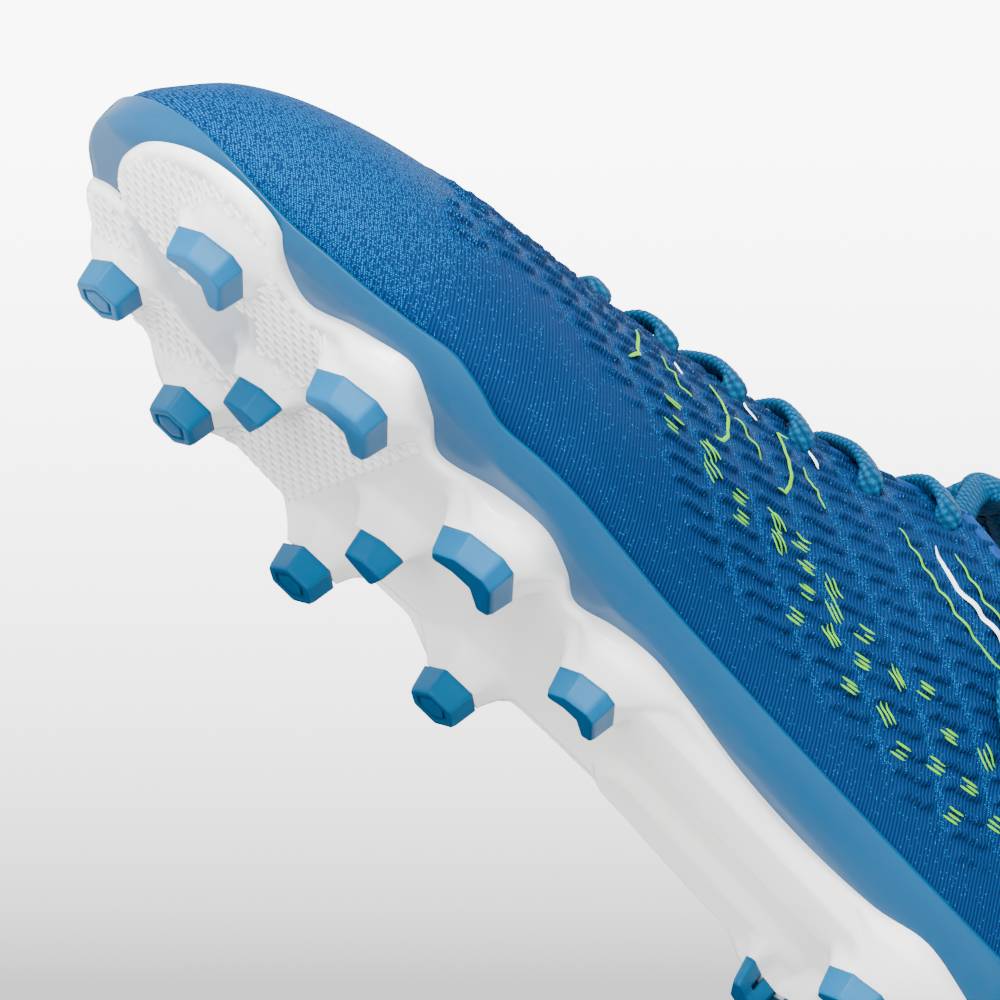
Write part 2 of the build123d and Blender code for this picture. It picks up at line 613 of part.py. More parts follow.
def lace_crossing(first_side):
    """Half of the lace: from the middle of the front bar, criss-cross up to the knot."""
    rows = eyelet_spots()
    side = first_side
    over, under = LACE_OVER, -(INSIDE + LACE_CLEARANCE + LACE_DIAMETER / 2)

    def eyelet(i, s):
        return rows[i][0 if s > 0 else 1]

    def throat_edge(x, s, height, extra):
        return over_skin(x, RIDGE_SHIFT + s * (throat_half(x) + extra), height)

    x, y = eyelet(0, side)
    bar = over_skin(x, RIDGE_SHIFT, over)
    points = [bar, throat_edge(x, side, over, 0.5), over_skin(x, y, over), over_skin(x, y, under)]
    crossing = CROSS_HIGH if first_side > 0 else CROSS_LOW
    for i in range(ROWS - 1):
        (x0, y0), (x1, y1) = eyelet(i, side), eyelet(i + 1, -side)
        points.append(throat_edge(x0 + 0.3 * (x1 - x0), side, under, 1.5))
        points.append(over_skin((x0 + x1) / 2, RIDGE_SHIFT, crossing))
        points.append(throat_edge(x0 + 0.7 * (x1 - x0), -side, over, 0.5))
        points.append(throat_edge(x0 + 0.85 * (x1 - x0), -side, over + 0.5, 0.5 * EYELET_SETBACK))
        points += [over_skin(x1, y1, over), over_skin(x1, y1, under)]
        side = -side
    knot = knot_centre()
    points.append(throat_edge(x1 - 3, side, under + 1.6, 0.0))
    points.append(over_skin(x1 - 5, RIDGE_SHIFT + side * 7, 0.5))
    points.append(Vector(knot.X + 2, knot.Y + side * 3.5, knot.Z - 1))
    return cord(points, LACE_DIAMETER / 2, 1.0)


def knot_centre():
    x = LAST_ROW * SHOE_LENGTH - 9
    return Vector(x, RIDGE_SHIFT, skin_height(x, RIDGE_SHIFT) + KNOT_SIZE[2] / 2 - 1.5)


def bow(side):
    """One loop and one free end of the bow, with the end's aglet."""
    knot = knot_centre()

    def near_knot(x, y, z):
        return knot + Vector(x, side * y, z)

    def beside(x, z, gap):
        return beside_skin(x, z, side, gap)

    loop = [near_knot(-2, 5, -1), near_knot(-5, 13, -2), near_knot(-10, 23, -7), near_knot(-14, 32, -17),
            beside(80, 70, 3.6), beside(80, 60, 2.6), beside(73.3, 53.3, 2.6), beside(63.8, 53.3, 2.6),
            beside(57.1, 60, 2.6), beside(57.5, 70, 3.8), near_knot(-29, 30, -17),
            near_knot(-20, 21, -6), near_knot(-11, 12, 0), near_knot(-3, 4.5, 1.5)]
    end = [near_knot(-4, 3, 0), near_knot(-14, 6, -1), near_knot(-26, 13, -6), near_knot(-37, 24, -17),
           beside(51, 64, 4.0), beside(47.5, 53, 2.8), beside(45, 42, 2.6)]
    tail = (end[-1] - end[-2]).normalized()
    ring = Plane(origin=end[-1], z_dir=tail)
    aglet = ring * Pos(0, 0, AGLET_LENGTH / 2) * Cylinder(AGLET_RADIUS, AGLET_LENGTH)
    radius = LACE_DIAMETER / 2
    return cord(loop, radius, 3 * LACE_DIAMETER), cord(end, radius, 3 * LACE_DIAMETER), aglet


def lace_parts():
    """The lace as it lies when tied, and the aglets on its ends."""
    knot_size = Vector(*KNOT_SIZE) * 0.5
    knot = Pos(knot_centre()) * Rotation(0, 20, 0) * scale(Sphere(1), by=tuple(knot_size))
    parts = {"lace_crossings_1": lace_crossing(1), "lace_crossings_2": lace_crossing(-1),
             "lace_knot": knot}
    for side, name in ((1, "lateral"), (-1, "medial")):
        parts[f"lace_loop_{name}"], parts[f"lace_end_{name}"], parts[f"aglet_{name}"] = bow(side)
    return parts


def centred(parts, loose):
    """Move the origin to the middle of the underside of everything but the loose cords."""
    fixed = Compound([shape for name, shape in parts.items() if name not in loose])
    box = fixed.bounding_box()
    shift = Vector(-(box.min.X + box.max.X) / 2, -(box.min.Y + box.max.Y) / 2, -box.min.Z)
    print("moved by", shift)
    return {name: shape.moved(Location(shift)) for name, shape in parts.items()}


def main():
    os.makedirs("parts", exist_ok=True)
    plate, tips = plate_parts()
    parts = {"outsole_plate": plate, "sole_rand": rand_part()}
    for group in (tips, upper_parts(), footbed_parts(), collar_parts(), tongue_parts(), lace_parts()):
        parts.update(group)
    loose = [name for name in parts if name.startswith(("lace_loop", "lace_end", "aglet"))]
    for name, shape in centred(parts, loose).items():
        solids = shape.solids()
        export_step(Compound(solids) if len(solids) > 1 else solids[0], f"parts/{name}.step")


main()
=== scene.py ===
"""Left soccer cleat: the finished surfaces over its CAD frame.

Shapes are worked out in millimetres, X from the back of the heel to the toe, +Y the outer side,
Z up from the ground, and moved into the frame's coordinates when each mesh is made.
"""
import math

import bmesh
import bpy
import numpy as np
from bpy.props import FloatProperty, FloatVectorProperty, IntProperty, PointerProperty
from bpy.types import Operator, Panel, PropertyGroup
from mathutils import Matrix, Vector
from mathutils.geometry import delaunay_2d_cdt


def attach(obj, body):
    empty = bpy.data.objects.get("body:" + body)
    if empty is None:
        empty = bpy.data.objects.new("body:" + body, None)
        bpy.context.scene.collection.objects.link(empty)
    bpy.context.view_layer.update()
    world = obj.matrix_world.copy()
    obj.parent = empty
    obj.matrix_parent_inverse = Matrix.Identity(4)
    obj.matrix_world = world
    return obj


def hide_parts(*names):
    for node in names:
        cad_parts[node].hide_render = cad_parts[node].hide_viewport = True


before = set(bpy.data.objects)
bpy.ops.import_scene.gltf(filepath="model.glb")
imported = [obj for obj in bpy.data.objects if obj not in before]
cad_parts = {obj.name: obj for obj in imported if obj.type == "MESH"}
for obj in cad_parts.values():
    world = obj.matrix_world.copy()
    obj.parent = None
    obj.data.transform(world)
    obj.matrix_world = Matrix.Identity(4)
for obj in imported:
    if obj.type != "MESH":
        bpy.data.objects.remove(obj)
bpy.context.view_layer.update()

bl_info = {
    "name": "Soccer cleat",
    "version": (1, 0, 0),
    "blender": (4, 5, 0),
    "location": "View3D > Sidebar > Cleat",
    "description": "Builds the upper, outsole, laces and stage of a soccer cleat",
    "category": "Add Mesh",
}

MM = 0.001
ORIGIN = np.array((133.25, 0.269, 0.0))

# Stations of the outer skin: share of length, outer and inner edge as shares of the ball width,
# underside above the rand's flat (mm), top as a share of the instep height, fullness.
STATIONS = np.array((
    (0.000, 0.000, 0.000, 13.0, 0.50, 2.2),
    (0.012, 0.145, -0.145, 5.5, 0.77, 2.6),
    (0.038, 0.232, -0.232, 1.2, 1.09, 3.0),
    (0.083, 0.305, -0.295, 0.0, 1.18, 3.0),
    (0.150, 0.352, -0.330, 0.0, 1.20, 3.0),
    (0.232, 0.374, -0.337, 0.0, 1.20, 3.0),
    (0.319, 0.385, -0.327, 0.0, 1.17, 2.5),
    (0.405, 0.396, -0.326, 0.0, 1.00, 2.0),
    (0.488, 0.422, -0.353, 0.0, 0.88, 1.8),
    (0.570, 0.465, -0.406, 0.0, 0.78, 1.8),
    (0.645, 0.497, -0.460, 0.0, 0.695, 1.85),
    (0.713, 0.502, -0.492, 0.0, 0.635, 2.0),
    (0.773, 0.492, -0.497, 0.0, 0.585, 2.1),
    (0.833, 0.455, -0.476, 0.0, 0.525, 2.2),
    (0.885, 0.390, -0.428, 0.0, 0.462, 2.3),
    (0.927, 0.310, -0.364, 0.0, 0.398, 2.3),
    (0.961, 0.208, -0.289, 0.1, 0.320, 2.3),
    (0.985, 0.102, -0.203, 0.8, 0.220, 2.2),
    (1.000, -0.055, -0.061, 4.0, 0.110, 2.0),
))

# Ankle opening (share of length, share of instep height), rand's upper edge (share of length, mm
# over its underside) and tongue outline (share of length, share of its half width).
COLLAR_LINE = ((0.0, 1.0), (0.038, 0.98), (0.083, 0.87), (0.13, 0.75), (0.17, 0.70), (0.21, 0.685),
               (0.25, 0.72), (0.295, 0.79), (0.335, 0.86), (0.37, 0.93), (0.40, 1.0), (0.41, 1.2))
RAND_LINE = ((0.0, 21.0), (0.012, 17.0), (0.038, 13.5), (0.083, 10.5), (0.15, 8.5), (0.25, 7.0),
             (0.45, 5.6), (0.54, 4.6), (0.61, 4.2), (0.652, 3.6), (0.69, 2.8), (0.721, 4.0), (0.745, 4.6),
             (0.78, 3.4), (0.825, 2.4), (0.87, 2.2), (0.90, 2.8), (0.936, 4.6), (0.97, 7.0), (1.0, 8.6))
TONGUE_SHAPE = ((0.335, 0.72), (0.37, 0.98), (0.58, 0.90), (0.66, 0.80), (0.74, 0.62))

# Plate edge: share of length, share of ball width, from the heel round the outer side.
PLATE_EDGE = (
    (0.030, 0.00), (0.045, 0.15), (0.090, 0.235), (0.150, 0.278), (0.215, 0.318), (0.262, 0.280),
    (0.325, 0.252), (0.390, 0.262), (0.452, 0.305), (0.495, 0.322), (0.525, 0.290), (0.552, 0.232),
    (0.578, 0.305), (0.612, 0.362), (0.650, 0.325), (0.690, 0.240), (0.722, 0.345), (0.758, 0.415),
    (0.796, 0.350), (0.824, 0.255), (0.850, 0.272), (0.886, 0.350), (0.922, 0.335), (0.952, 0.262),
    (0.971, 0.140), (0.974, 0.020), (0.962, -0.060), (0.945, -0.100), (0.962, -0.138),
    (0.969, -0.195), (0.956, -0.258), (0.926, -0.322), (0.890, -0.385), (0.830, -0.440),
    (0.765, -0.465), (0.712, -0.466), (0.645, -0.460), (0.570, -0.425), (0.498, -0.358),
    (0.420, -0.320), (0.337, -0.305), (0.262, -0.312), (0.187, -0.310), (0.127, -0.278),
    (0.075, -0.214), (0.041, -0.118),
)

# Studs: share of length, share of ball width, ground clearance of the tip (mm), outline, length.
STUDS = {
    "stud_tip_lateral_1": (0.887, 0.177, 5.2, "blade", 15.46),
    "stud_tip_lateral_2": (0.756, 0.284, 1.8, "blade", 16.8),
    "stud_tip_lateral_3": (0.619, 0.260, 0.0, "blade", 16.8),
    "stud_tip_lateral_4": (0.497, 0.200, 0.0, "blade", 13.1),
    "stud_tip_medial_1": (0.904, -0.255, 5.2, "post", 11.4),
    "stud_tip_medial_2": (0.803, -0.335, 1.8, "post", 11.4),
    "stud_tip_medial_3": (0.660, -0.400, 0.0, "post", 11.4),
    "stud_tip_medial_4": (0.533, -0.300, 0.0, "post", 11.4),
    "stud_tip_centre_1": (0.791, -0.043, 1.8, "wedge", 9.8),
    "stud_tip_centre_2": (0.655, -0.075, 0.0, "wedge", 9.8),
    "stud_tip_heel_lateral_1": (0.208, 0.170, 0.0, "blade", 14.28),
    "stud_tip_heel_lateral_2": (0.098, 0.130, 0.0, "blade", 13.44),
    "stud_tip_heel_medial_1": (0.228, -0.160, 0.0, "blade", 14.28),
    "stud_tip_heel_medial_2": (0.098, -0.130, 0.0, "blade", 13.44),
}
OUTLINES = {
    "blade": ((0.51, -0.16), (0.33, 0.17), (-0.02, 0.33), (-0.20, 0.27), (-0.49, -0.22),
              (-0.36, -0.33), (-0.07, -0.06), (0.20, -0.11), (0.44, -0.27)),
    "post": ((0.47, 0.16), (0.30, -0.34), (-0.20, -0.42), (-0.49, -0.06), (-0.30, 0.38), (0.20, 0.44)),
    "wedge": ((0.56, 0.14), (-0.43, 0.26), (-0.40, -0.36), (0.08, -0.27)),
}
# Midfoot ribs: two ends as shares of length and ball width, and half width (mm).
RIB_LINES = (((0.455, 0.150), (0.235, 0.155), 10.5), ((0.405, -0.145), (0.240, -0.155), 8.5))
# Recess in the toe, from its notch along the inner side and back, mm; a raised line borders it.
CHANNEL = ((253, -9), (247, -12), (240, -16), (228, -20), (216, -21), (216, -8), (224, 4), (234, -6),
           (248, -8))
BORDER_POINTS, BORDER_SHIFT = 5, 0.6

# Printed marks on the outer side: places (x, z) of the strokes, mm.
SHORT_BUNDLES = ((162.0, 48.2), (159.8, 44.3), (140.8, 45.4), (138.1, 42.5), (125.4, 49.7),
                 (122.2, 46.8), (119.6, 42.7), (118.0, 37.2), (105.3, 45.9), (102.6, 41.3),
                 (101.6, 35.7), (89.9, 47.1), (86.2, 34.5), (80.9, 44.3), (78.8, 38.2),
                 (71.4, 40.2), (70.3, 33.8), (62.9, 39.3))
STEEP_BUNDLES = ((150.8, 47.1), (148.7, 44.3), (132.3, 48.4), (129.6, 45.3), (115.9, 47.6),
                 (112.7, 44.6), (110.6, 40.0), (95.7, 44.4), (93.1, 37.3), (72.4, 47.0))
LIME_LINES = (
    (0.42, (156.1, 62.0), (153.0, 60.6), (150.8, 58.2), (148.9, 54.7), (149.4, 52.4), (151.8, 50.9)),
    (0.42, (137.6, 67.6), (139.9, 66.9), (135.9, 62.1), (133.3, 58.1), (133.5, 55.4), (135.6, 54.2)),
    (0.42, (174.1, 56.8), (172.9, 54.3), (172.0, 51.0), (173.9, 47.8)),
    (0.24, (167.8, 55.6), (164.1, 55.2), (163.6, 54.2), (159.3, 53.2)),
    (0.24, (149.2, 60.4), (144.5, 58.3), (143.3, 58.3), (140.8, 57.1)),
    (0.24, (132.8, 64.0), (129.1, 62.0), (128.2, 62.4), (125.4, 59.9)),
    (0.26, (111.1, 70.8), (101.6, 66.4), (93.1, 63.7), (83.0, 62.5), (74.0, 62.4)),
    (0.24, (100.0, 74.6), (91.5, 71.0), (82.0, 69.3)),
)
WHITE_LINES = (
    (0.55, (103.7, 73.0), (96.3, 69.0), (87.8, 67.6), (79.0, 66.5)),
    (0.50, (164.1, 60.0), (162.0, 58.5)),
    (0.55, (148.2, 66.2), (144.9, 64.2)),
    (0.55, (132.8, 69.4), (129.6, 68.0)),
)
RIB_REGION = ((60, 27), (140, 28), (165, 39), (200, 42), (214, 31), (222, 60))

# The upper's layers, as depths under the outer skin, mm.
KNIT_DEPTH = 0.9
LINING_DEPTH = 4.0
PAD_DEPTH = 7.6
SOCK_TOP = 9.45
TONGUE_DEPTH = 11.1
TONGUE_THICKNESS = 4.7
THROAT = (0.702, 0.400, 10.0, 4.0, 9.0)     # front, back, half width, widening, nose radius
JOINT_SCALE = 1.16      # where a tip meets its stem
ROWS, FIRST_ROW, LAST_ROW, EYELET_SETBACK = 6, 0.679, 0.390, 9.0
COLLAR_BACK = 0.25
RIDGE = -3.0


class CleatSizes(PropertyGroup):
    """Main sizes of the cleat's surfaces."""
    length: FloatProperty(name="Length", description="Back of heel to front of toe",
                          default=0.2665, unit="LENGTH")
    ball_width: FloatProperty(name="Ball width", description="Widest, across the rand",
                              default=0.0935, unit="LENGTH")
    instep_height: FloatProperty(name="Instep height", description="Rand underside to laced vamp",
                                 default=0.078, unit="LENGTH")
    stud_height: FloatProperty(name="Stud height", description="Ground to plate underside",
                               default=0.012, unit="LENGTH")
    rib_height: FloatProperty(name="Knit rib", description="Height of the raised knit ribs",
                              default=0.0009, unit="LENGTH")
    lace_width: FloatProperty(name="Lace width", description="Width of the flattened braid",
                              default=0.0054, unit="LENGTH")
    lace_thickness: FloatProperty(name="Lace thickness", description="Thickness of the braid",
                                  default=0.0025, unit="LENGTH")
    rows_along: IntProperty(name="Rows", description="Mesh rows along the upper", default=640)


class CleatStage(PropertyGroup):
    """Light and camera."""
    focal_length: FloatProperty(name="Focal length", description="Camera lens, mm", default=226.3)
    distance: FloatProperty(name="Distance", description="Camera to the ball of the shoe",
                            default=1.14, unit="LENGTH")
    floor_size: FloatProperty(name="Floor size", description="Side of the floor",
                              default=6.0, unit="LENGTH")
    backdrop_top: FloatVectorProperty(name="Backdrop top", description="Colour behind, above",
                                      default=(1.0, 1.0, 1.0), subtype="COLOR")
    backdrop_foot: FloatVectorProperty(name="Backdrop foot", description="Colour behind, below",
                                       default=(0.13, 0.13, 0.134), subtype="COLOR")


# ---- shapes ----

def monotone(xs, ys, at):
    """Smooth curve through points that doesn't overshoot them."""
    xs, ys, at = np.asarray(xs, float), np.asarray(ys, float), np.asarray(at, float)
    steps = np.diff(xs)
    slopes = np.diff(ys) / steps
    ends = np.zeros_like(ys)
    near, far = 2 * steps[1:] + steps[:-1], steps[1:] + 2 * steps[:-1]
    same = slopes[:-1] * slopes[1:] > 1e-12
    before, after = np.where(same, slopes[:-1], 1), np.where(same, slopes[1:], 1)
    ends[1:-1] = np.where(same, (near + far) / (near / before + far / after), 0)
    ends[0], ends[-1] = slopes[0], slopes[-1]
    i = np.clip(np.searchsorted(xs, at, "right") - 1, 0, len(xs) - 2)
    s = np.clip((at - xs[i]) / steps[i], 0, 1)
    return ((1 + 2 * s) * (1 - s) ** 2 * ys[i] + s * (1 - s) ** 2 * steps[i] * ends[i]
            + s * s * (3 - 2 * s) * ys[i + 1] + s * s * (s - 1) * steps[i] * ends[i + 1])


def smooth(values, width):
    """Running average that leaves the ends where they are."""
    kernel = np.hanning(2 * width + 3)[1:-1]
    wide = np.pad(values, width, mode="reflect", reflect_type="odd")
    return np.convolve(wide, kernel / kernel.sum(), "valid")


def step(x):
    x = np.clip(x, 0, 1)
    return x * x * (3 - 2 * x)


class Last:
    """The outer skin, by share of the length and by the turn round the section: -1 is the middle
    of the underside, 0 where it starts to curve up, 1 the widest level and 2 the ridge."""

    def __init__(self, sizes):
        self.length, self.width = sizes.length / MM, sizes.ball_width / MM
        self.height, self.stud = sizes.instep_height / MM, sizes.stud_height / MM
        self.angles = np.linspace(0, math.pi, 1441)
        at = np.arccos(1 - 2 * STATIONS[:, 0])
        self.columns = [smooth(monotone(at, STATIONS[:, k], self.angles), 22) for k in range(1, 6)]

    def column(self, k, t):
        return np.interp(np.arccos(1 - 2 * np.clip(t, 0, 1)), self.angles, self.columns[k - 1])

    def underside(self, x):
        start = 0.71 * self.length
        return self.stud + 4.0 * (np.maximum(0, x - start) / (0.97 * self.length - start)) ** 2

    def floor(self, x):
        return self.underside(x) + 2.05

    def section(self, t, inset=0.0):
        x = inset + (self.length - 2 * inset) * t
        left, right = self.column(1, t) * self.width, self.column(2, t) * self.width
        low, high = self.column(3, t), self.column(4, t) * self.height
        depth = inset * np.clip(np.minimum(left - right, high - low) / 25.0, 0, 1)
        left, right = left - depth, right + depth
        low, high = self.floor(x) + low + depth, self.floor(x) + high - depth
        third = 0.3 * (left - right)
        ridge = np.minimum(np.maximum(RIDGE, right + third), left - third)
        return x, left, right, ridge, low, low + np.minimum(9.5, 0.42 * (high - low)), high

    def point(self, t, side, turn, inset=0.0):
        t, side, turn, inset = np.broadcast_arrays(t, side, turn, inset)
        x, left, right, ridge, low, wide, high = self.section(t, inset)
        edge = np.where(side > 0, left, right)
        corner = np.minimum(11.0, 0.30 * (left - right))
        middle = (left + right) / 2
        b = np.radians(90 * np.clip(turn, 0, 1))
        a = np.radians(90 * np.clip(turn - 1, 0, 1))
        power = 2.0 / self.column(5, t)
        inner = edge - side * corner
        flat = inner + (middle - inner) * np.clip(-turn, 0, 1)
        y = np.where(turn <= 0, flat, np.where(
            turn <= 1, edge - side * corner * (1 - np.sin(b)),
            ridge + (edge - ridge) * np.clip(np.cos(a), 0, 1) ** power))
        z = np.where(turn <= 1, wide - (wide - low) * np.cos(b),
                     wide + (high - wide) * np.sin(a) ** power)
        return np.stack((x, y, z), axis=-1)

    def outward(self, t, side, turn):
        """Unit vectors out of the skin."""
        t, side, turn = np.broadcast_arrays(t, side, turn)
        e = 0.0015
        along = (self.point(np.clip(t + e, 0, 1), side, turn)
                 - self.point(np.clip(t - e, 0, 1), side, turn))
        round_ = (self.point(t, side, np.minimum(turn + 0.01, 2.0))
                  - self.point(t, side, np.minimum(turn + 0.01, 2.0) - 0.02))
        normal = np.cross(along, round_) * -side[..., None]
        return normal / np.maximum(np.linalg.norm(normal, axis=-1, keepdims=True), 1e-9)

    def raised(self, t, side, turn, height, inset=0.0):
        return self.point(t, side, turn, inset) + self.outward(t, side, turn) * np.asarray(height)[..., None]

    def turn_at_width(self, t, side, reach):
        _, left, right, ridge, _, _, _ = self.section(t)
        share = np.clip(reach / np.maximum(np.abs(np.where(side > 0, left, right) - ridge), 1e-6), 0, 1)
        return 1 + np.degrees(np.arccos(share ** (self.column(5, t) / 2))) / 90

    def turn_at_height(self, t, z):
        _, _, _, _, low, wide, high = self.section(t)
        under = np.clip((wide - z) / np.maximum(wide - low, 1e-6), 0, 1)
        over = np.clip((z - wide) / np.maximum(high - wide, 1e-6), 0, 1)
        return np.where(z < wide, np.degrees(np.arccos(under)) / 90,
                        1 + np.degrees(np.arcsin(over ** (self.column(5, t) / 2))) / 90)

    def girth(self, t, side, turn):
        """Distance round the section from its widest level."""
        t, side, turn = np.broadcast_arrays(t, side, turn)
        parts = np.linspace(0, 1, 17)
        spots = self.point(t[..., None], side[..., None], 1 + (turn[..., None] - 1) * parts)
        return np.sign(turn - 1) * np.linalg.norm(np.diff(spots, axis=-2), axis=-1).sum(-1)

    def throat_half(self, x):
        front, back, half, widening, _ = THROAT
        return half + widening * (front * self.length - x) / ((front - back) * self.length)

    def opening(self, t, side):
        """Turn of the edge of the ankle opening and throat; the ridge in front of them."""
        front, back, _, _, nose = THROAT
        x = t * self.length
        gone = np.clip((x - front * self.length + nose) / nose, 0, 1)
        reach = self.throat_half(x) * np.sqrt(1 - gone ** 2)
        throat = np.where(t < front, self.turn_at_width(t, side, reach), 2.0)
        line = np.array(COLLAR_LINE)
        collar = self.turn_at_height(t, self.floor(0) + monotone(line[:, 0], line[:, 1], t) * self.height)
        both = -np.log(np.exp(-30 * throat) + np.exp(-30 * collar)) / 30
        return np.clip(np.where(t > back + 0.01, throat, np.where(t > COLLAR_BACK, both, collar)), 1, 2)

    def rand_top(self, t):
        line = np.array(RAND_LINE)
        return self.turn_at_height(t, self.floor(t * self.length) + monotone(line[:, 0], line[:, 1], t))

    def over(self, x, y, height):
        """Point over the skin above a place in plan (below it when negative)."""
        t, side = x / self.length, np.where(y > RIDGE, 1.0, -1.0)
        turn = self.turn_at_width(t, side, abs(y - RIDGE))
        return self.raised(t, side, turn, height)

    def beside(self, x, z, side, gap):
        t = x / self.length
        spot = self.point(t, side, self.turn_at_height(t, z))
        return np.array((x, spot[1] + side * gap, z))


def rib_relief(u, s):
    """Raised ribs of the knit, the rows of sparkling stitches between their columns, and a painted shadow
    that darkens the knit just under each rib's lower edge.
    """
    across, down = -0.743 * u + 0.669 * s, -0.669 * u - 0.743 * s
    column = (across - 0.30 * down + 1.2 * np.sin(down / 9.0)) / 10.5
    place = column - np.floor(column)
    lag = 0.5 * (np.floor(column) % 2)
    wave = 0.16 * np.sin(2 * math.pi * place) - 0.25 * place
    f = down / 4.3 + lag + wave
    f = f - np.floor(f) - 0.5
    ridge = np.exp(-(f / np.where(f > 0, 0.085, 0.21)) ** 2)
    gap = 0.5 - np.abs(place - 0.5)
    window = step((gap - 0.08) / 0.14)
    line = np.array(RIB_REGION)
    sill = np.interp(u, line[:, 0], line[:, 1]) - 24.0
    region = step((s - sill) / 4.0) * step((u - 55) / 12) * step((224 - u) / 10)
    # shade: painted shadow under the lower edge of each rib, a dark band laid into the knit's colour
    shade = np.exp(-((f - 0.15) / 0.085) ** 2) * window * region
    stitches = np.exp(-(gap / 0.055) ** 2) * region
    return ridge * window * region, stitches, shade


def signed_distance(points, loop):
    """Distance of plan points to a closed loop, positive inside."""
    a, b = loop, np.roll(loop, -1, axis=0)
    side = b - a
    found = np.empty(len(points))
    for i in range(0, len(points), 3000):
        p = points[i:i + 3000, None, :]
        along = np.clip(((p - a) * side).sum(-1) / (side ** 2).sum(-1), 0, 1)
        away = np.linalg.norm(p - a - along[..., None] * side, axis=-1).min(-1)
        crosses = ((a[:, 1] > p[..., 1]) != (b[:, 1] > p[..., 1]))
        rise = np.where(np.abs(side[:, 1]) < 1e-12, 1e-12, side[:, 1])
        inside = (crosses & (p[..., 0] < a[:, 0] + (p[..., 1] - a[:, 1]) * side[:, 0] / rise)).sum(-1) % 2
        found[i:i + 3000] = np.where(inside == 1, away, -away)
    return found


def rounded_loop(corners, radius, count=5):
    """Closed polygon with its corners rounded."""
    spots = []
    for i, b in enumerate(corners):
        a, c = corners[i - 1], corners[(i + 1) % len(corners)]
        back, on = (a - b) / np.linalg.norm(a - b), (c - b) / np.linalg.norm(c - b)
        reach = min(radius, 0.45 * np.linalg.norm(a - b), 0.45 * np.linalg.norm(c - b))
        for s in np.linspace(0, 1, count):
            spots.append(b + (1 - s) ** 2 * back * reach + s ** 2 * on * reach)
    return np.array(spots)


def closed_run(points, count):
    """Smooth closed run through points."""
    spots = np.asarray(points, float)
    a, b, c, d = (np.roll(spots, k, axis=0) for k in (1, 0, -1, -2))
    s = np.linspace(0, 1, count, endpoint=False)[None, :, None]
    run = 0.5 * ((2 * b)[:, None] + (c - a)[:, None] * s + (2 * a - 5 * b + 4 * c - d)[:, None] * s ** 2
                 + (3 * b - 3 * c + d - a)[:, None] * s ** 3)
    return run.reshape(-1, 2)


def stud_loop(last, name, scale):
    """Outline of a stud in plan."""
    along, across, _, kind, length = STUDS[name]
    outward = 1.0 if across > 0 else -1.0
    corners = np.array([(last.length * along + u * length * scale,
                         last.width * across + outward * v * length * scale)
                        for u, v in OUTLINES[kind]])
    return rounded_loop(corners, 0.09 * length)


class Plate:
    """Underside of the outsole plate, as a height over the plan."""

    def __init__(self, last):
        self.last = last
        self.edge = closed_run([(t * last.length, w * last.width) for t, w in PLATE_EDGE], 9)
        self.channel = closed_run(CHANNEL, 5)
        self.joints = {name: stud_loop(last, name, JOINT_SCALE) for name in STUDS}

    def lift(self, x, y):
        """How far the rand curves up over a place near its edge."""
        _, left, right, _, low, wide, _ = self.last.section(x / self.last.length)
        edge = np.where(y > (left + right) / 2, left, right)
        corner = np.minimum(11.0, 0.30 * (left - right))
        share = np.clip(1 - np.abs(edge - y) / corner, 0, 1)
        return wide - (wide - low) * np.sqrt(1 - share ** 2) - self.last.floor(x)

    def flare(self, xy):
        """Drop of the stems and ribs under the plate."""
        x, total = xy[:, 0], np.zeros(len(xy))
        for name, (along, across, clearance, kind, length) in STUDS.items():
            centre = np.array((along * self.last.length, across * self.last.width))
            away = xy - centre
            near = np.abs(away).max(-1) < 34
            d = np.maximum(0, -signed_distance(xy[near], self.joints[name]))
            unit = away[near] / np.maximum(np.linalg.norm(away[near], axis=-1, keepdims=True), 1e-6)
            out = 0.0 if kind == "wedge" else step(unit[:, 1] * math.copysign(1, across) * 1.15)
            reach = 4.6 + 8.0 * out
            power = 1.7 - 0.6 * out
            fall = (1 - np.clip(d / reach, 0, 1)) ** power
            depth = self.last.underside(x[near]) - clearance - 5.6
            total[near] += (depth * fall) ** 4
        for a, b, half in RIB_LINES:
            a, b = (np.array((t * self.last.length, w * self.last.width)) for t, w in (a, b))
            s = np.clip(((xy - a) @ (b - a)) / ((b - a) @ (b - a)), 0, 1)
            d = np.linalg.norm(xy - a - s[:, None] * (b - a), axis=-1)
            total += (2.7 * step((half - d) / 3.6)) ** 4
        return total ** 0.25

    def heights(self, xy):
        """Underside and top of the plate, and the share of painted grey shade: in the sunken centre channel
        and over the forefoot's field of scales.
        """
        x, y = xy[:, 0], xy[:, 1]
        under, lift = self.last.underside(x), np.clip(self.lift(x, y), 0, 2.5 - 1.7 * step((x - 196) / 24))
        edge = np.maximum(signed_distance(xy, self.edge), 0)
        channel = step(signed_distance(xy, self.channel) / 1.6 + 0.1)
        flare = self.flare(xy)
        radius = 1.5 + 0.25 * flare
        rounding = radius * (1 - np.sqrt(1 - (1 - np.clip(edge / radius, 0, 1)) ** 2))
        bottom = under + 0.9 * lift - flare + np.minimum(rounding, 1.3 + 0.5 * flare)
        bottom = bottom + 0.7 * channel * step(1 - flare / 3)
        # Painted shade over the forefoot's flat field of scales, greying the white plate there
        scale_field_shade = 0.7 * step((x - 186) / 10) * step(1.6 - flare) * step((edge - 1.2) / 1.5)
        return bottom, under + 2.2 + lift, np.maximum(channel * step(1 - flare / 4), scale_field_shade)


# ---- meshes ----

def grid_faces(rows, columns, wrap=False):
    index = np.arange(rows * columns).reshape(rows, columns)
    if wrap:
        index = np.column_stack((index, index[:, 0]))
    quads = np.stack((index[:-1, :-1], index[1:, :-1], index[1:, 1:], index[:-1, 1:]), axis=-1)
    return quads.reshape(-1, 4)


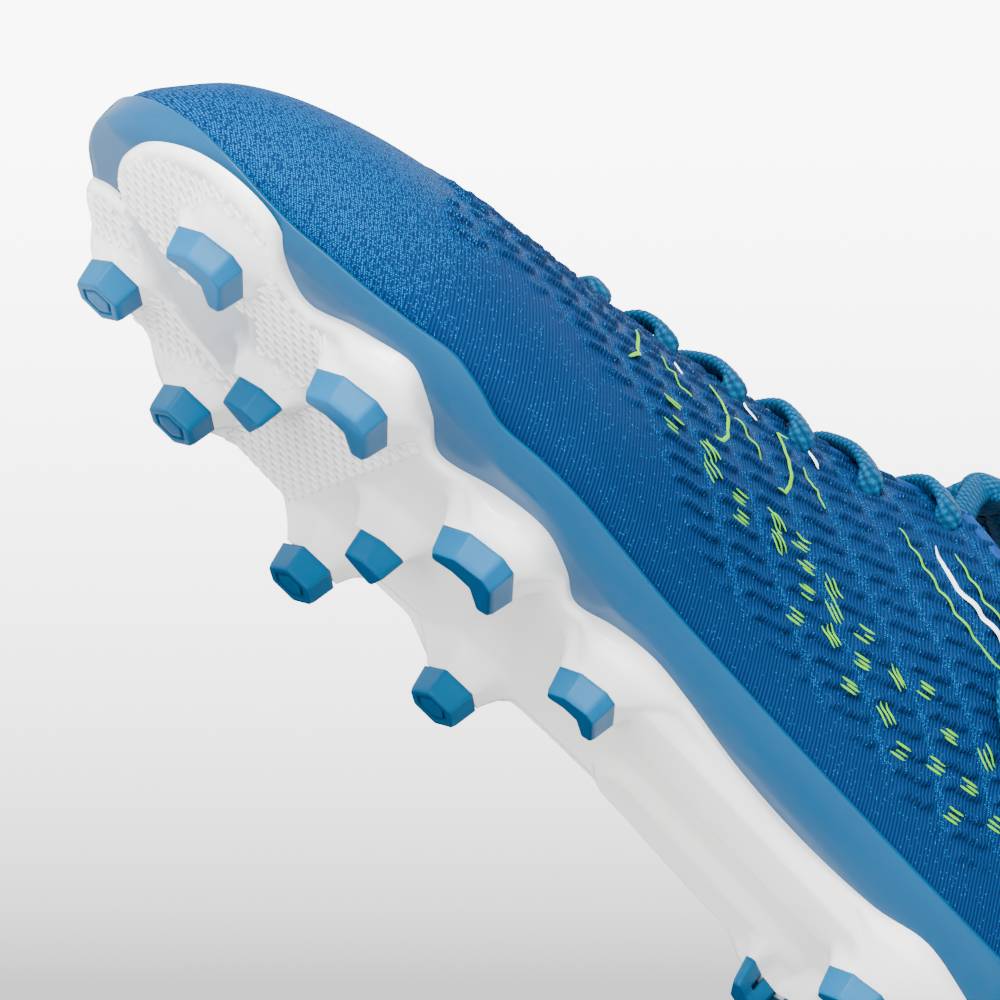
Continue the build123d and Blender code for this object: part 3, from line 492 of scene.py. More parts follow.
def add_mesh(name, points, faces, material, body="shoe", replaced=(), uv=None, values=None,
             weld=0.0):
    """Mesh object in the frame from points in millimetres."""
    mesh = bpy.data.meshes.new(name)
    mesh.from_pydata(((np.asarray(points) - ORIGIN) * MM).tolist(), [], [list(f) for f in faces])
    if uv is not None:
        loops = np.empty(len(mesh.loops), int)
        mesh.loops.foreach_get("vertex_index", loops)
        mesh.uv_layers.new(name="UVMap").data.foreach_set("uv", np.asarray(uv)[loops].ravel())
    for key, numbers in (values or {}).items():
        mesh.attributes.new(key, "FLOAT", "POINT").data.foreach_set("value", np.asarray(numbers, float))
    if weld:
        work = bmesh.new()
        work.from_mesh(mesh)
        bmesh.ops.remove_doubles(work, verts=work.verts, dist=weld * MM)
        bmesh.ops.recalc_face_normals(work, faces=work.faces)
        work.to_mesh(mesh)
        work.free()
    mesh.materials.append(material)
    mesh.shade_smooth()
    mesh.validate()
    obj = bpy.data.objects.new(name, mesh)
    bpy.context.scene.collection.objects.link(obj)
    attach(obj, body)
    if replaced:
        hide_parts(*replaced)
    return obj


def sweep(path, width, thickness, across=None, closed=False, around=24, braid=0.0):
    """Oval section along a path: points, faces, uv in millimetres and the braid's height."""
    path = np.asarray(path, float)
    if closed:
        tangent = np.roll(path, -1, axis=0) - np.roll(path, 1, axis=0)
    else:
        tangent = np.gradient(path, axis=0)
    tangent /= np.linalg.norm(tangent, axis=1, keepdims=True)
    if across is None:
        side = np.empty_like(path)
        start = np.cross(tangent[0], (0.3, 0.2, 1.0))
        side[0] = start / np.linalg.norm(start)
        for i in range(1, len(path)):
            moved = side[i - 1] - tangent[i] * (side[i - 1] @ tangent[i])
            side[i] = moved / np.linalg.norm(moved)
    else:
        side = np.asarray(across, float) - tangent * (tangent @ np.asarray(across, float))[:, None]
        side /= np.linalg.norm(side, axis=1, keepdims=True)
    up = np.cross(side, tangent)
    along = np.concatenate(([0], np.cumsum(np.linalg.norm(np.diff(path, axis=0), axis=1))))
    angle = np.linspace(0, 2 * math.pi, around, endpoint=False)
    c, s = np.cos(angle), np.sin(angle)
    c, s = np.sign(c) * np.abs(c) ** 0.8, np.sign(s) * np.abs(s) ** 0.8
    weave = (np.abs(np.sin(math.pi * along[:, None] / 1.5 + 3 * angle)
                    * np.sin(math.pi * along[:, None] / 1.5 - 3 * angle)))
    grow = braid * (weave - 0.5)
    ring = (side[:, None] * (c * width / 2 + grow * c)[..., None]
            + up[:, None] * (s * thickness / 2 + grow * s)[..., None])
    points = (path[:, None] + ring).reshape(-1, 3)
    rows = len(path)
    faces = grid_faces(rows, around, True).tolist()
    if closed:
        last = (rows - 1) * around
        faces += [(last + k, k, (k + 1) % around, last + (k + 1) % around) for k in range(around)]
    else:
        faces += [tuple(range(around))[::-1], tuple(range((rows - 1) * around, rows * around))]
    uv = np.stack(np.broadcast_arrays(along[:, None], angle * width / 4), axis=-1).reshape(-1, 2)
    return points, faces, uv, weave.ravel()


def nurbs_path(points, spacing=0.35):
    """Even points along a smooth curve through straight runs, in millimetres."""
    curve = bpy.data.curves.new("route", "CURVE")
    curve.dimensions, curve.resolution_u = "3D", 24
    spline = curve.splines.new("NURBS")
    spline.points.add(len(points) - 1)
    for spot, place in zip(spline.points, points):
        spot.co = (*((np.asarray(place) - ORIGIN) * MM), 1)
    spline.order_u, spline.use_endpoint_u = 3, True
    holder = bpy.data.objects.new("route", curve)
    mesh = bpy.data.meshes.new_from_object(holder)
    run = np.array([v.co[:] for v in mesh.vertices]) / MM + ORIGIN
    bpy.data.objects.remove(holder)
    bpy.data.meshes.remove(mesh)
    bpy.data.curves.remove(curve)
    along = np.concatenate(([0], np.cumsum(np.linalg.norm(np.diff(run, axis=0), axis=1))))
    even = np.linspace(0, along[-1], max(8, int(along[-1] / spacing)))
    return np.stack([np.interp(even, along, run[:, k]) for k in range(3)], axis=1)


def lace_route(last, first_side):
    """Half of the lace, from the middle of the front bar, criss-cross up to the knot."""
    front, back, _, _, _ = THROAT
    xs = [(FIRST_ROW + (LAST_ROW - FIRST_ROW) * i / (ROWS - 1)) * last.length for i in range(ROWS)]
    over, under, side = 1.2, -5.85, first_side

    def edge(x, s, height, extra):
        return last.over(x, RIDGE + s * (last.throat_half(x) + extra), height)

    def eyelet(x, s, height):
        return edge(x, s, height, EYELET_SETBACK)

    crossing = 0.6 if first_side > 0 else -3.2
    points = [last.over(xs[0], RIDGE, over), edge(xs[0], side, over, 0.5),
              eyelet(xs[0], side, over), eyelet(xs[0], side, under)]
    for x0, x1 in zip(xs, xs[1:]):
        points.append(edge(x0 + 0.3 * (x1 - x0), side, under, 1.5))
        points.append(last.over((x0 + x1) / 2, RIDGE, crossing))
        points.append(edge(x0 + 0.7 * (x1 - x0), -side, over, 0.5))
        points.append(edge(x0 + 0.85 * (x1 - x0), -side, over + 0.5, 0.5 * EYELET_SETBACK))
        points += [eyelet(x1, -side, over), eyelet(x1, -side, under)]
        side = -side
    knot = knot_centre(last)
    points.append(edge(xs[-1] - 3, side, under + 1.6, 0.0))
    points.append(last.over(xs[-1] - 5, RIDGE + side * 7, 0.5))
    points.append(knot + (2, side * 3.5, -1))
    return points


def knot_centre(last):
    x = LAST_ROW * last.length - 9
    return last.over(x, RIDGE, 0) * (0, 0, 1) + (x, RIDGE, 2.5)


def bow_routes(last, side):
    """The bow's loop and free end on one side."""
    knot = knot_centre(last)

    def near(x, y, z):
        return knot + (x, side * y, z)

    def beside(x, z, gap):
        return last.beside(x, z, side, gap)

    loop = [near(-2, 5, -1), near(-5, 13, -2), near(-10, 23, -7), near(-14, 32, -17),
            beside(80, 70, 3.6), beside(80, 60, 2.6), beside(73.3, 53.3, 2.6), beside(63.8, 53.3, 2.6),
            beside(57.1, 60, 2.6), beside(57.5, 70, 3.8), near(-29, 30, -17),
            near(-20, 21, -6), near(-11, 12, 0), near(-3, 4.5, 1.5)]
    end = [near(-4, 3, 0), near(-14, 6, -1), near(-26, 13, -6), near(-37, 24, -17),
           beside(51, 64, 4.0), beside(47.5, 53, 2.8), beside(45, 42, 2.6)]
    return loop, end


def ridge_strip(plate, places, width, height):
    """Raised line on the plate's underside."""
    places = np.asarray(places, float)
    tangent = np.gradient(places, axis=0)
    tangent /= np.maximum(np.linalg.norm(tangent, axis=1, keepdims=True), 1e-9)
    out = np.stack((-tangent[:, 1], tangent[:, 0]), axis=1)
    offsets = (-0.5, -0.28, 0.0, 0.28, 0.5)
    drops = (-0.06, 0.7, 1.0, 0.7, -0.06)
    xy = np.concatenate([places + out * width * k for k in offsets])
    z = plate.heights(xy)[0] - np.repeat(drops, len(places)) * height
    points = np.column_stack((xy, z)).reshape(5, -1, 3).transpose(1, 0, 2).reshape(-1, 3)
    return points, grid_faces(len(places), 5)


def scales(plate):
    """Centres of the small scales moulded in the flat parts of the forefoot."""
    centres = np.array([(x + 1.45 * (k % 2), y) for k, y in enumerate(np.arange(-44, 44, 2.0))
                        for x in np.arange(188, 262, 2.9)])
    inside = signed_distance(centres, plate.edge)
    centres = centres[inside > 2.0]
    channel = signed_distance(centres, plate.channel)
    return centres[(plate.flare(centres) < 1.3) & (channel < -0.6)]


# ---- finishes ----

def srgb(red, green, blue):
    def linear(c):
        c /= 255
        return c / 12.92 if c <= 0.04045 else ((c + 0.055) / 1.055) ** 2.4
    return linear(red), linear(green), linear(blue), 1.0


class Finish:
    """A material with a few nodes added by short calls."""

    def __init__(self, name, roughness=0.5, coat=0.0, sheen=0.0, specular=0.08):
        self.material = bpy.data.materials.new(name)
        self.material.use_nodes = True
        self.tree = self.material.node_tree
        self.shader = next(n for n in self.tree.nodes if n.type == "BSDF_PRINCIPLED")
        self.set(self.shader, {"Roughness": roughness, "Coat Weight": coat, "Coat Roughness": 0.12,
                               "Sheen Weight": sheen, "Specular IOR Level": specular})

    def set(self, node, values):
        for key, value in values.items():
            if isinstance(value, bpy.types.NodeSocket):
                self.tree.links.new(value, node.inputs[key])
            else:
                node.inputs[key].default_value = value
        return node

    def node(self, kind, values=None, **settings):
        made = self.tree.nodes.new(kind)
        for key, value in settings.items():
            setattr(made, key, value)
        return self.set(made, values or {})

    def math(self, operation, a, b=0.0):
        return self.node("ShaderNodeMath", {0: a, 1: b}, operation=operation).outputs[0]

    def mix(self, share, a, b):
        made = self.node("ShaderNodeMix", data_type="RGBA")
        self.set(made, {0: share, 6: a, 7: b})
        return made.outputs[2]

    def coordinates(self, source, scale, turn=0.0):
        spots = self.node("ShaderNodeTexCoord").outputs[source]
        return self.node("ShaderNodeMapping", {"Vector": spots, "Scale": scale, "Rotation": (0, 0, turn)},
                         vector_type="POINT").outputs[0]

    def noise(self, scale, detail=3.0):
        spots = self.node("ShaderNodeTexCoord").outputs["Object"]
        made = self.node("ShaderNodeTexNoise", {"Vector": spots, "Scale": scale, "Detail": detail})
        return made.outputs["Fac"]

    def value(self, name):
        return self.node("ShaderNodeAttribute", attribute_name=name).outputs["Fac"]

    def bump(self, height, distance, strength=1.0):
        made = self.node("ShaderNodeBump", {"Height": height, "Distance": distance, "Strength": strength})
        self.set(self.shader, {"Normal": made.outputs[0]})

    def colour(self, value):
        self.set(self.shader, {"Base Color": value})


def plain(name, dark, light, roughness, grain=400.0, relief=0.00005, coat=0.0, sheen=0.0):
    """Finish with a fine mottled colour and grain."""
    look = Finish(name, roughness, coat, sheen)
    cloud = look.noise(grain)
    look.colour(look.mix(cloud, dark, light))
    look.bump(cloud, relief)
    return look.material


def knit_finish(name, base, deep, spark, density):
    """Fine knit: slanting wales, sparkling stitches where the attribute asks for them, and a painted shadow
    under the ribs where the rib shadow attribute asks for it.
    """
    look = Finish(name, 0.62, specular=0.05)
    wales = look.node("ShaderNodeTexWave", {
        "Vector": look.coordinates("UV", (1, 1, 1), math.radians(30)), "Scale": 0.42, "Distortion": 0.6,
        "Detail": 1.0, "Detail Scale": 3.0}).outputs["Fac"]
    cells = look.node("ShaderNodeTexVoronoi", {
        "Vector": look.coordinates("UV", (0.82, 1.25, 1), math.radians(30)), "Scale": 2.6,
        "Randomness": 0.42}, voronoi_dimensions="2D")
    dot = look.math("LESS_THAN", cells.outputs["Distance"], 0.27)
    chance = look.node("ShaderNodeSeparateColor", {"Color": cells.outputs["Color"]}).outputs[0]
    chosen = look.math("LESS_THAN", chance, look.math("MULTIPLY", look.value("sparkle"), density))
    shine = look.math("MULTIPLY", dot, chosen)
    cloth = look.mix(wales, deep, base)
    # Painted shadow under the ribs: the knit's colour darkened towards a near-black blue by the rib shadow
    # attribute
    cloth = look.mix(look.math("MULTIPLY", look.value("painted_rib_shadow"), 0.8), cloth, srgb(0, 12, 34))
    look.colour(look.mix(look.math("MULTIPLY", shine, 0.7), cloth, spark))
    look.bump(look.math("ADD", wales, look.math("MULTIPLY", shine, 0.8)), 0.00016, 0.8)
    return look.material


def lace_finish():
    look = Finish("lace_braid", 0.68)
    strand = look.node("ShaderNodeTexNoise", {"Vector": look.coordinates("UV", (3.0, 9.0, 1)),
                                              "Scale": 1.0, "Detail": 2.0}).outputs["Fac"]
    share = look.math("MULTIPLY", look.value("weave"), look.math("ADD", strand, 0.5))
    look.colour(look.mix(share, srgb(0, 30, 56), srgb(0, 84, 126)))
    look.bump(strand, 0.00008, 0.6)
    return look.material


def plate_finish():
    look = Finish("plate_white", 0.28, 0.35, specular=0.5)
    cloud = look.noise(60.0)
    white = look.mix(cloud, srgb(238, 236, 233), srgb(246, 244, 242))
    # Painted shade: the white turns grey in the channel and over the scales where the plate shade attribute
    # asks for it
    look.colour(look.mix(look.value("painted_plate_shade"), white, srgb(178, 184, 190)))
    look.bump(look.noise(900.0), 0.00001, 0.4)
    return look.material


def tip_finish():
    look = Finish("stud_tip_blue", 0.38, 0.03, specular=0.15)
    cloud = look.noise(80.0)
    look.colour(look.mix(cloud, srgb(0, 84, 126), srgb(0, 90, 134)))
    edge = look.node("ShaderNodeBevel", {"Radius": 0.0011}, samples=6)
    look.set(look.shader, {"Normal": edge.outputs[0]})
    return look.material


def rand_finish():
    look = Finish("rand_gloss", 0.30, 0.08, specular=0.2)
    cloud = look.noise(24.0, 1.0)
    look.colour(look.mix(cloud, srgb(0, 62, 98), srgb(0, 68, 106)))
    look.bump(cloud, 0.0009, 0.25)
    return look.material


FINISHES = {}


def finish(name):
    """The shared material of a kind, made the first time it is asked for."""
    if name not in FINISHES:
        FINISHES[name] = {
            "knit": lambda: knit_finish("knit_blue", srgb(0, 46, 90), srgb(0, 28, 62),
                                        srgb(0, 120, 190), 0.8),
            "lining": lambda: knit_finish("lining_cloth", srgb(0, 36, 80), srgb(0, 24, 60),
                                          srgb(20, 90, 150), 0.1),
            "edge": lambda: plain("edge_binding", srgb(0, 34, 84), srgb(0, 56, 116), 0.6, 900),
            "piping": lambda: plain("white_piping", srgb(226, 226, 224), srgb(244, 244, 242), 0.5, 900),
            "lime": lambda: plain("print_lime", srgb(84, 160, 0), srgb(96, 176, 0), 0.5, 700),
            "white": lambda: plain("print_white", srgb(222, 226, 228), srgb(240, 242, 242), 0.5, 700),
            "rand": rand_finish,
            "plate": plate_finish,
            "tip": tip_finish,
            "lace": lace_finish,
            "aglet": lambda: plain("aglet_clear", srgb(40, 120, 160), srgb(60, 150, 190), 0.2, 200,
                                   coat=0.6),
            "stiffener": lambda: plain("stiffener_board", srgb(214, 206, 188), srgb(228, 222, 206), 0.7),
            "foam": lambda: plain("open_foam", srgb(196, 200, 202), srgb(224, 226, 226), 0.9, 1800,
                                  0.0002),
            "dark_foam": lambda: plain("dyed_foam", srgb(0, 24, 56), srgb(0, 38, 78), 0.9, 1800, 0.0002),
            "board": lambda: plain("insole_fibre", srgb(176, 158, 126), srgb(204, 188, 156), 0.85, 600),
            "sock": lambda: plain("sock_cloth", srgb(0, 44, 96), srgb(0, 60, 120), 0.8, 1500,
                                  0.0001, sheen=0.2),
        }[name]()
    return FINISHES[name]


CAD_FINISHES = {"heel_counter": "stiffener", "toe_puff": "stiffener", "eyestay_lateral": "edge",
                "eyestay_medial": "edge", "vamp_foam": "foam", "insole_board": "board",
                "sockliner_foam": "dark_foam", "collar_foam": "dark_foam", "tongue_foam": "dark_foam",
                "aglet_lateral": "aglet", "aglet_medial": "aglet"}


def paint_cad(names, kind):
    for name in names:
        obj = bpy.data.objects[name]
        obj.data.materials.clear()
        obj.data.materials.append(finish(kind))


def cleat_last(context):
    return Last(context.scene.cleat_sizes)


# ---- operators ----

class CLEAT_OT_inner_layers(Operator):
    """Finish the stiffeners, foams and board that stay as designed"""
    bl_idname = "cleat.inner_layers"
    bl_label = "Inner layers"

    def execute(self, context):
        for name, kind in CAD_FINISHES.items():
            paint_cad([name], kind)
        return {"FINISHED"}


class CLEAT_OT_upper(Operator):
    """Knit the upper with its raised ribs and eyelets"""
    bl_idname = "cleat.upper"
    bl_label = "Knit upper"

    def execute(self, context):
        last, sizes = cleat_last(context), context.scene.cleat_sizes
        phi = np.linspace(0.0, math.pi, sizes.rows_along)
        t = ((1 - np.cos(phi)) / 2)[:, None]
        points, uv, sparkle, rib_shadows, faces, columns = [], [], [], [], [], 150
        for k, side in enumerate((1.0, -1.0)):
            top = last.opening(t, side)
            start = np.minimum(np.maximum(last.rand_top(t) - 0.16, 0.2), top)
            turn = start + (top - start) * np.linspace(0, 1, columns)
            base = last.point(t, side, turn, KNIT_DEPTH)
            s = last.girth(t, side, turn)
            rib, stitches, shade = rib_relief(base[..., 0], s)
            height = rib * sizes.rib_height / MM
            for i in range(ROWS):
                x = (FIRST_ROW + (LAST_ROW - FIRST_ROW) * i / (ROWS - 1)) * last.length
                spot = last.over(x, RIDGE + side * (last.throat_half(x) + EYELET_SETBACK), -KNIT_DEPTH)
                away = np.linalg.norm(base - spot, axis=-1)
                height = height * step(away / 5) - 2.6 * np.exp(-(away / 2.0) ** 4)
            points.append((base + last.outward(t, side, turn) * height[..., None]).reshape(-1, 3))
            u = base[..., 0]
            toe = 0.85 * step((u - 196) / 34) * (1 - 0.75 * step((s - 20) / 50))
            # Keep the painted shadow under the ribs for the knit's material
            rib_shadows.append(shade.ravel())
            sparkle.append(np.clip(0.05 + 0.75 * stitches + toe, 0, 1).ravel())
            uv.append(np.stack((u, s * side + 200 * k), axis=-1).reshape(-1, 2))
            quads = grid_faces(sizes.rows_along, columns) + k * sizes.rows_along * columns
            faces.append(quads if side < 0 else quads[:, ::-1])
        # The rib shadow attribute is painted shade, darkening the knit under each rib
        add_mesh("knit_shell", np.concatenate(points), np.concatenate(faces), finish("knit"),
                 replaced=("knit_upper",), uv=np.concatenate(uv), weld=0.004,
                 values={"sparkle": np.concatenate(sparkle), "painted_rib_shadow": np.concatenate(rib_shadows)})
        return {"FINISHED"}


def opening_path(last, inset, start=0.0):
    """The edge of the ankle opening and throat, as a closed run (or the throat's part of it)."""
    t = np.concatenate((np.linspace(max(start, 0.01), 0.06, 40), np.linspace(0.061, 0.66, 330),
                        THROAT[0] - 0.042 * np.linspace(1, 0, 60)[1:] ** 2))
    t = t[t >= start]
    runs = []
    for side in (1.0, -1.0):
        turn = last.opening(t, side)
        keep = turn < 1.992
        first = np.argmax(keep)
        runs.append(last.point(t[first:], side, turn[first:], inset))
    return np.concatenate((runs[0], runs[1][::-1][1:]))


class CLEAT_OT_edges(Operator):
    """Bind the edge of the opening and throat"""
    bl_idname = "cleat.edges"
    bl_label = "Edge binding"

    def execute(self, context):
        last = cleat_last(context)
        points, faces, uv, _ = sweep(opening_path(last, 2.1), 2.7, 2.7, closed=True, around=14)
        add_mesh("edge_binding", points, faces, finish("edge"), uv=uv)
        points, faces, uv, _ = sweep(opening_path(last, 1.0, 0.42), 0.9, 0.9, around=8)
        add_mesh("throat_piping", points, faces, finish("piping"), uv=uv)
        return {"FINISHED"}


class CLEAT_OT_prints(Operator):
    """Lay the printed strokes on the upper"""
    bl_idname = "cleat.prints"
    bl_label = "Printed strokes"

    def stroke(self, last, side, places, width):
        places = np.asarray(places, float)
        along = np.concatenate(([0], np.cumsum(np.linalg.norm(np.diff(places, axis=0), axis=1))))
        even = np.linspace(0, along[-1], max(4, int(along[-1] / 0.5)))
        x, z = (np.interp(even, along, places[:, k]) for k in (0, 1))
        t = x / last.length
        turn = last.turn_at_height(t, z)
        rib = rib_relief(x, last.girth(t, side, turn))[0]
        normal = last.outward(t, side, turn)
        rib = smooth(np.max([np.roll(rib, k) for k in (-2, -1, 0, 1, 2)], axis=0), 2)
        path = last.point(t, side, turn, KNIT_DEPTH) + normal * (rib * self.rib + 0.02)[:, None]
        across = np.cross(normal, np.gradient(path, axis=0))
        across /= np.linalg.norm(across, axis=1, keepdims=True)
        half = width * np.sqrt(np.clip(1 - np.abs(np.linspace(-1, 1, len(x))) ** 4, 0.04, 1))[:, None]
        rows = np.stack((path - across * half, path + normal * 0.16, path + across * half), axis=1)
        return rows.reshape(-1, 3), grid_faces(len(x), 3)

    def bundle(self, last, side, place, slope, gap, count, length):
        x, z = place
        t = x / last.length
        normal = last.outward(t, side, last.turn_at_height(t, z))
        rise = math.sqrt(max(0.1, 1 - normal[2] ** 2))
        a, b = math.cos(slope), math.sin(slope)
        lines = []
        for k in range(count):
            away = (k - (count - 1) / 2) * gap
            slip = 0.7 * math.sin(5 * x + 3 * k)
            ends = []
            for reach in (-length / 2 + slip, length / 2 + slip * 0.4):
                right, down = a * reach - b * away, b * reach + a * away
                ends.append((x - 0.743 * right - 0.669 * down, z + (0.669 * right - 0.743 * down) * rise))
            lines.append(ends)
        return lines

    def execute(self, context):
        last = cleat_last(context)
        self.rib = context.scene.cleat_sizes.rib_height / MM
        for name, kind, lines in (("lime_prints", "lime", LIME_LINES),
                                  ("white_prints", "white", WHITE_LINES)):
            points, faces, count = [], [], 0
            for side in (1.0, -1.0):
                strokes = [(line[0], line[1:]) for line in lines]
                if kind == "lime":
                    for place in SHORT_BUNDLES:
                        strokes += [(0.24, line) for line in
                                    self.bundle(last, side, place, math.radians(28), 0.95, 3, 3.4)]
                    for place in STEEP_BUNDLES:
                        strokes += [(0.20, line) for line in
                                    self.bundle(last, side, place, math.radians(63), 0.85, 3, 4.6)]
                for width, places in strokes:
                    spots, quads = self.stroke(last, side, places, width)
                    points.append(spots)
                    faces.append(quads + count)
                    count += len(spots)
            add_mesh(name, np.concatenate(points), np.concatenate(faces), finish(kind))
        return {"FINISHED"}


def inner_grid(last, rows, columns, depth_of, low_of, roll_of=None):
    """Both inner sides of the upper as one grid each, by depth and lowest turn."""
    points, faces, uv, count = [], [], [], 0
    for side in (1.0, -1.0):
        t = rows[:, None]
        v = np.linspace(0, 1, columns)
        top = last.opening(t, side)
        turn = top + (low_of(t) - top) * v
        spots = last.point(t, side, turn, depth_of(t, v))
        if roll_of:
            rise = last.point(t, side, top) - last.point(t, side, top - 0.02)
            spots = spots + rise / np.linalg.norm(rise, axis=-1, keepdims=True) * roll_of(t, v)[..., None]
        points.append(spots.reshape(-1, 3))
        uv.append(np.stack((spots[..., 0], turn * 50 * side), axis=-1).reshape(-1, 2))
        faces.append(grid_faces(len(rows), columns) + count)
        count += len(points[-1])
    return np.concatenate(points), np.concatenate(faces), np.concatenate(uv)


class CLEAT_OT_lining(Operator):
    """Line the inside and pad the collar"""
    bl_idname = "cleat.lining"
    bl_label = "Lining and collar"

    def execute(self, context):
        last = cleat_last(context)
        rows = (1 - np.cos(np.linspace(0.14, math.pi - 0.2, 220))) / 2
        points, faces, uv = inner_grid(
            last, rows, 60, lambda t, v: 1.4 + (LINING_DEPTH - 1.4) * step(v / 0.06) + 0 * t,
            lambda t: 0 * t)
        add_mesh("lining_shell", points, faces, finish("lining"),
                 replaced=("upper_lining",), uv=uv, weld=0.004)
        rows = np.concatenate((np.linspace(0.012, 0.06, 30), np.linspace(0.064, 0.37, 110)))

        def depth(t, v):
            full = LINING_DEPTH + (PAD_DEPTH - LINING_DEPTH) * step((0.37 - t) / 0.06)
            return 1.0 + (full - 1.0) * step(v / 0.16) - (full - LINING_DEPTH + 0.1) * step((v - 0.6) / 0.4)

        def low(t):
            return np.maximum(1.02, last.opening(t, 1.0) - 0.42)

        def roll(t, v):
            return 2.4 * np.sin(math.pi * np.clip(v / 0.16, 0, 1)) * step((0.37 - t) / 0.06)

        points, faces, uv = inner_grid(last, rows, 60, depth, low, roll)
        pad = add_mesh("collar_pad", points, faces, finish("lining"),
                       replaced=("collar_lining",), uv=uv, weld=0.004)
        return {"FINISHED"}


class CLEAT_OT_rand(Operator):
    """Wrap the glossy rand round the lower edge"""
    bl_idname = "cleat.rand"
    bl_label = "Rand"

    def execute(self, context):
        last = cleat_last(context)
        t = ((1 - np.cos(np.linspace(0.004, math.pi - 0.004, 460))) / 2)[:, None]
        points, faces, uv = [], [], []
        for k, side in enumerate((1.0, -1.0)):
            top = last.rand_top(t)
            share = np.concatenate((np.linspace(-1, 0, 8), np.linspace(0, 1, 42)[1:], np.ones(4)))
            turn = np.where(share < 0, share, share * top)
            inset = np.zeros_like(share)
            inset[-4:] = (0.12, 0.42, 0.8, 1.3)
            turn = turn + np.concatenate((np.zeros(len(share) - 4), (0.004, 0.007, 0.006, 0.0)))
            spots = last.point(t, side, np.minimum(turn, 2.0), inset)
            points.append(spots.reshape(-1, 3))
            uv.append(np.stack(np.broadcast_arrays(spots[..., 0], turn * 40 * side), -1).reshape(-1, 2))
            quads = grid_faces(len(t), len(share)) + k * len(t) * len(share)
            faces.append(quads if side < 0 else quads[:, ::-1])
        add_mesh("rand_band", np.concatenate(points), np.concatenate(faces), finish("rand"),
                 replaced=("sole_rand",), uv=np.concatenate(uv), weld=0.004)
        return {"FINISHED"}


class CLEAT_OT_outsole(Operator):
    """Mould the plate with its flared stems, ribs and scales, and colour the tips"""
    bl_idname = "cleat.outsole"
    bl_label = "Outsole plate"

    def lattice(self, plate):
        """Plan points of the plate: edge, rings beside the edge and the stems, and a filling."""
        edge = plate.edge
        along = np.roll(edge, -1, axis=0) - np.roll(edge, 1, axis=0)
        along /= np.linalg.norm(along, axis=1, keepdims=True)
        inward = np.stack((along[:, 1], -along[:, 0]), axis=1)
        if signed_distance(edge[:1] + inward[:1] * 0.3, edge)[0] < 0:
            inward = -inward
        rings = [edge + inward * d for d in (0.25, 0.6, 1.05, 1.6)]
        loops = [edge]
        for name in STUDS:
            joint = closed_run(plate.joints[name], 2)
            middle = joint.mean(0)
            loops.append(joint)
            out = joint - middle
            reach = np.linalg.norm(out, axis=1, keepdims=True)
            rings += [joint + out / reach * d for d in (0.35, 0.8, 1.4, 2.1)]
        rings = np.concatenate(rings)
        rings = rings[signed_distance(rings, edge) > 0.2]
        gap = 0.9
        fill = np.array([(x + 0.5 * gap * (k % 2), y) for k, y in enumerate(np.arange(-46, 46, gap * 0.87))
                         for x in np.arange(4, 264, gap)])
        fill = fill[signed_distance(fill, edge) > 1.9]
        return loops, np.concatenate((rings, fill))

    def execute(self, context):
        last = cleat_last(context)
        plate = Plate(last)
        loops, free = self.lattice(plate)
        edges, count = [], 0
        for loop in loops:
            edges += [(count + k, count + (k + 1) % len(loop)) for k in range(len(loop))]
            count += len(loop)
        spots = np.concatenate(loops + [free])
        made = delaunay_2d_cdt([Vector(p) for p in spots], edges, [], 0, 0.02)
        xy = np.array([v[:] for v in made[0]])
        triangles = np.array(made[2])
        triangles = triangles[signed_distance(xy[triangles].mean(1), plate.edge) > 0]
        bottom, top, painted_plate_shade = plate.heights(xy)
        count = len(xy)
        points = np.concatenate((np.column_stack((xy, bottom)), np.column_stack((xy, top))))
        sides = {}
        for tri in triangles:
            for k in range(3):
                sides[tri[k], tri[(k + 1) % 3]] = True
        walls = [(a, b, b + count, a + count) for a, b in sides if (b, a) not in sides]
        faces = triangles[:, ::-1].tolist() + (triangles + count).tolist() + walls
        # The painted grey shade of the channel and the scale field goes on as an attribute of both sheets
        body = add_mesh("outsole_moulding", points, faces, finish("plate"),
                        replaced=("outsole_plate",), values={"painted_plate_shade": np.tile(painted_plate_shade, 2)})
        body.data.polygons.foreach_set("use_smooth", [len(f) == 3 for f in faces]
                                       if len(body.data.polygons) == len(faces) else
                                       [True] * len(body.data.polygons))
        self.relief(plate)
        paint_cad(STUDS, "tip")
        return {"FINISHED"}

    def relief(self, plate):
        """Scales and the line from the toe notch."""
        points, faces, count = [], [], 0
        angles = np.radians((-150, -120, -60, 0, 60, 120, 150))
        for x, y in scales(plate):
            arc = np.column_stack((x - 1.35 * np.cos(angles), y + 1.02 * np.sin(angles)))
            spots, quads = ridge_strip(plate, arc[1:-1], 0.80, 0.42)
            points.append(spots)
            faces.append(quads + count)
            count += len(spots)
        along = np.array(CHANNEL[:BORDER_POINTS], float) - (0, BORDER_SHIFT)
        steps = np.linspace(0, len(along) - 1, 70)
        line = np.column_stack([monotone(np.arange(len(along)), along[:, k], steps) for k in (0, 1)])
        spots, quads = ridge_strip(plate, line, 1.1, 0.6)
        points.append(spots)
        faces.append(quads + count)
        add_mesh("outsole_relief", np.concatenate(points), np.concatenate(faces), finish("plate"))


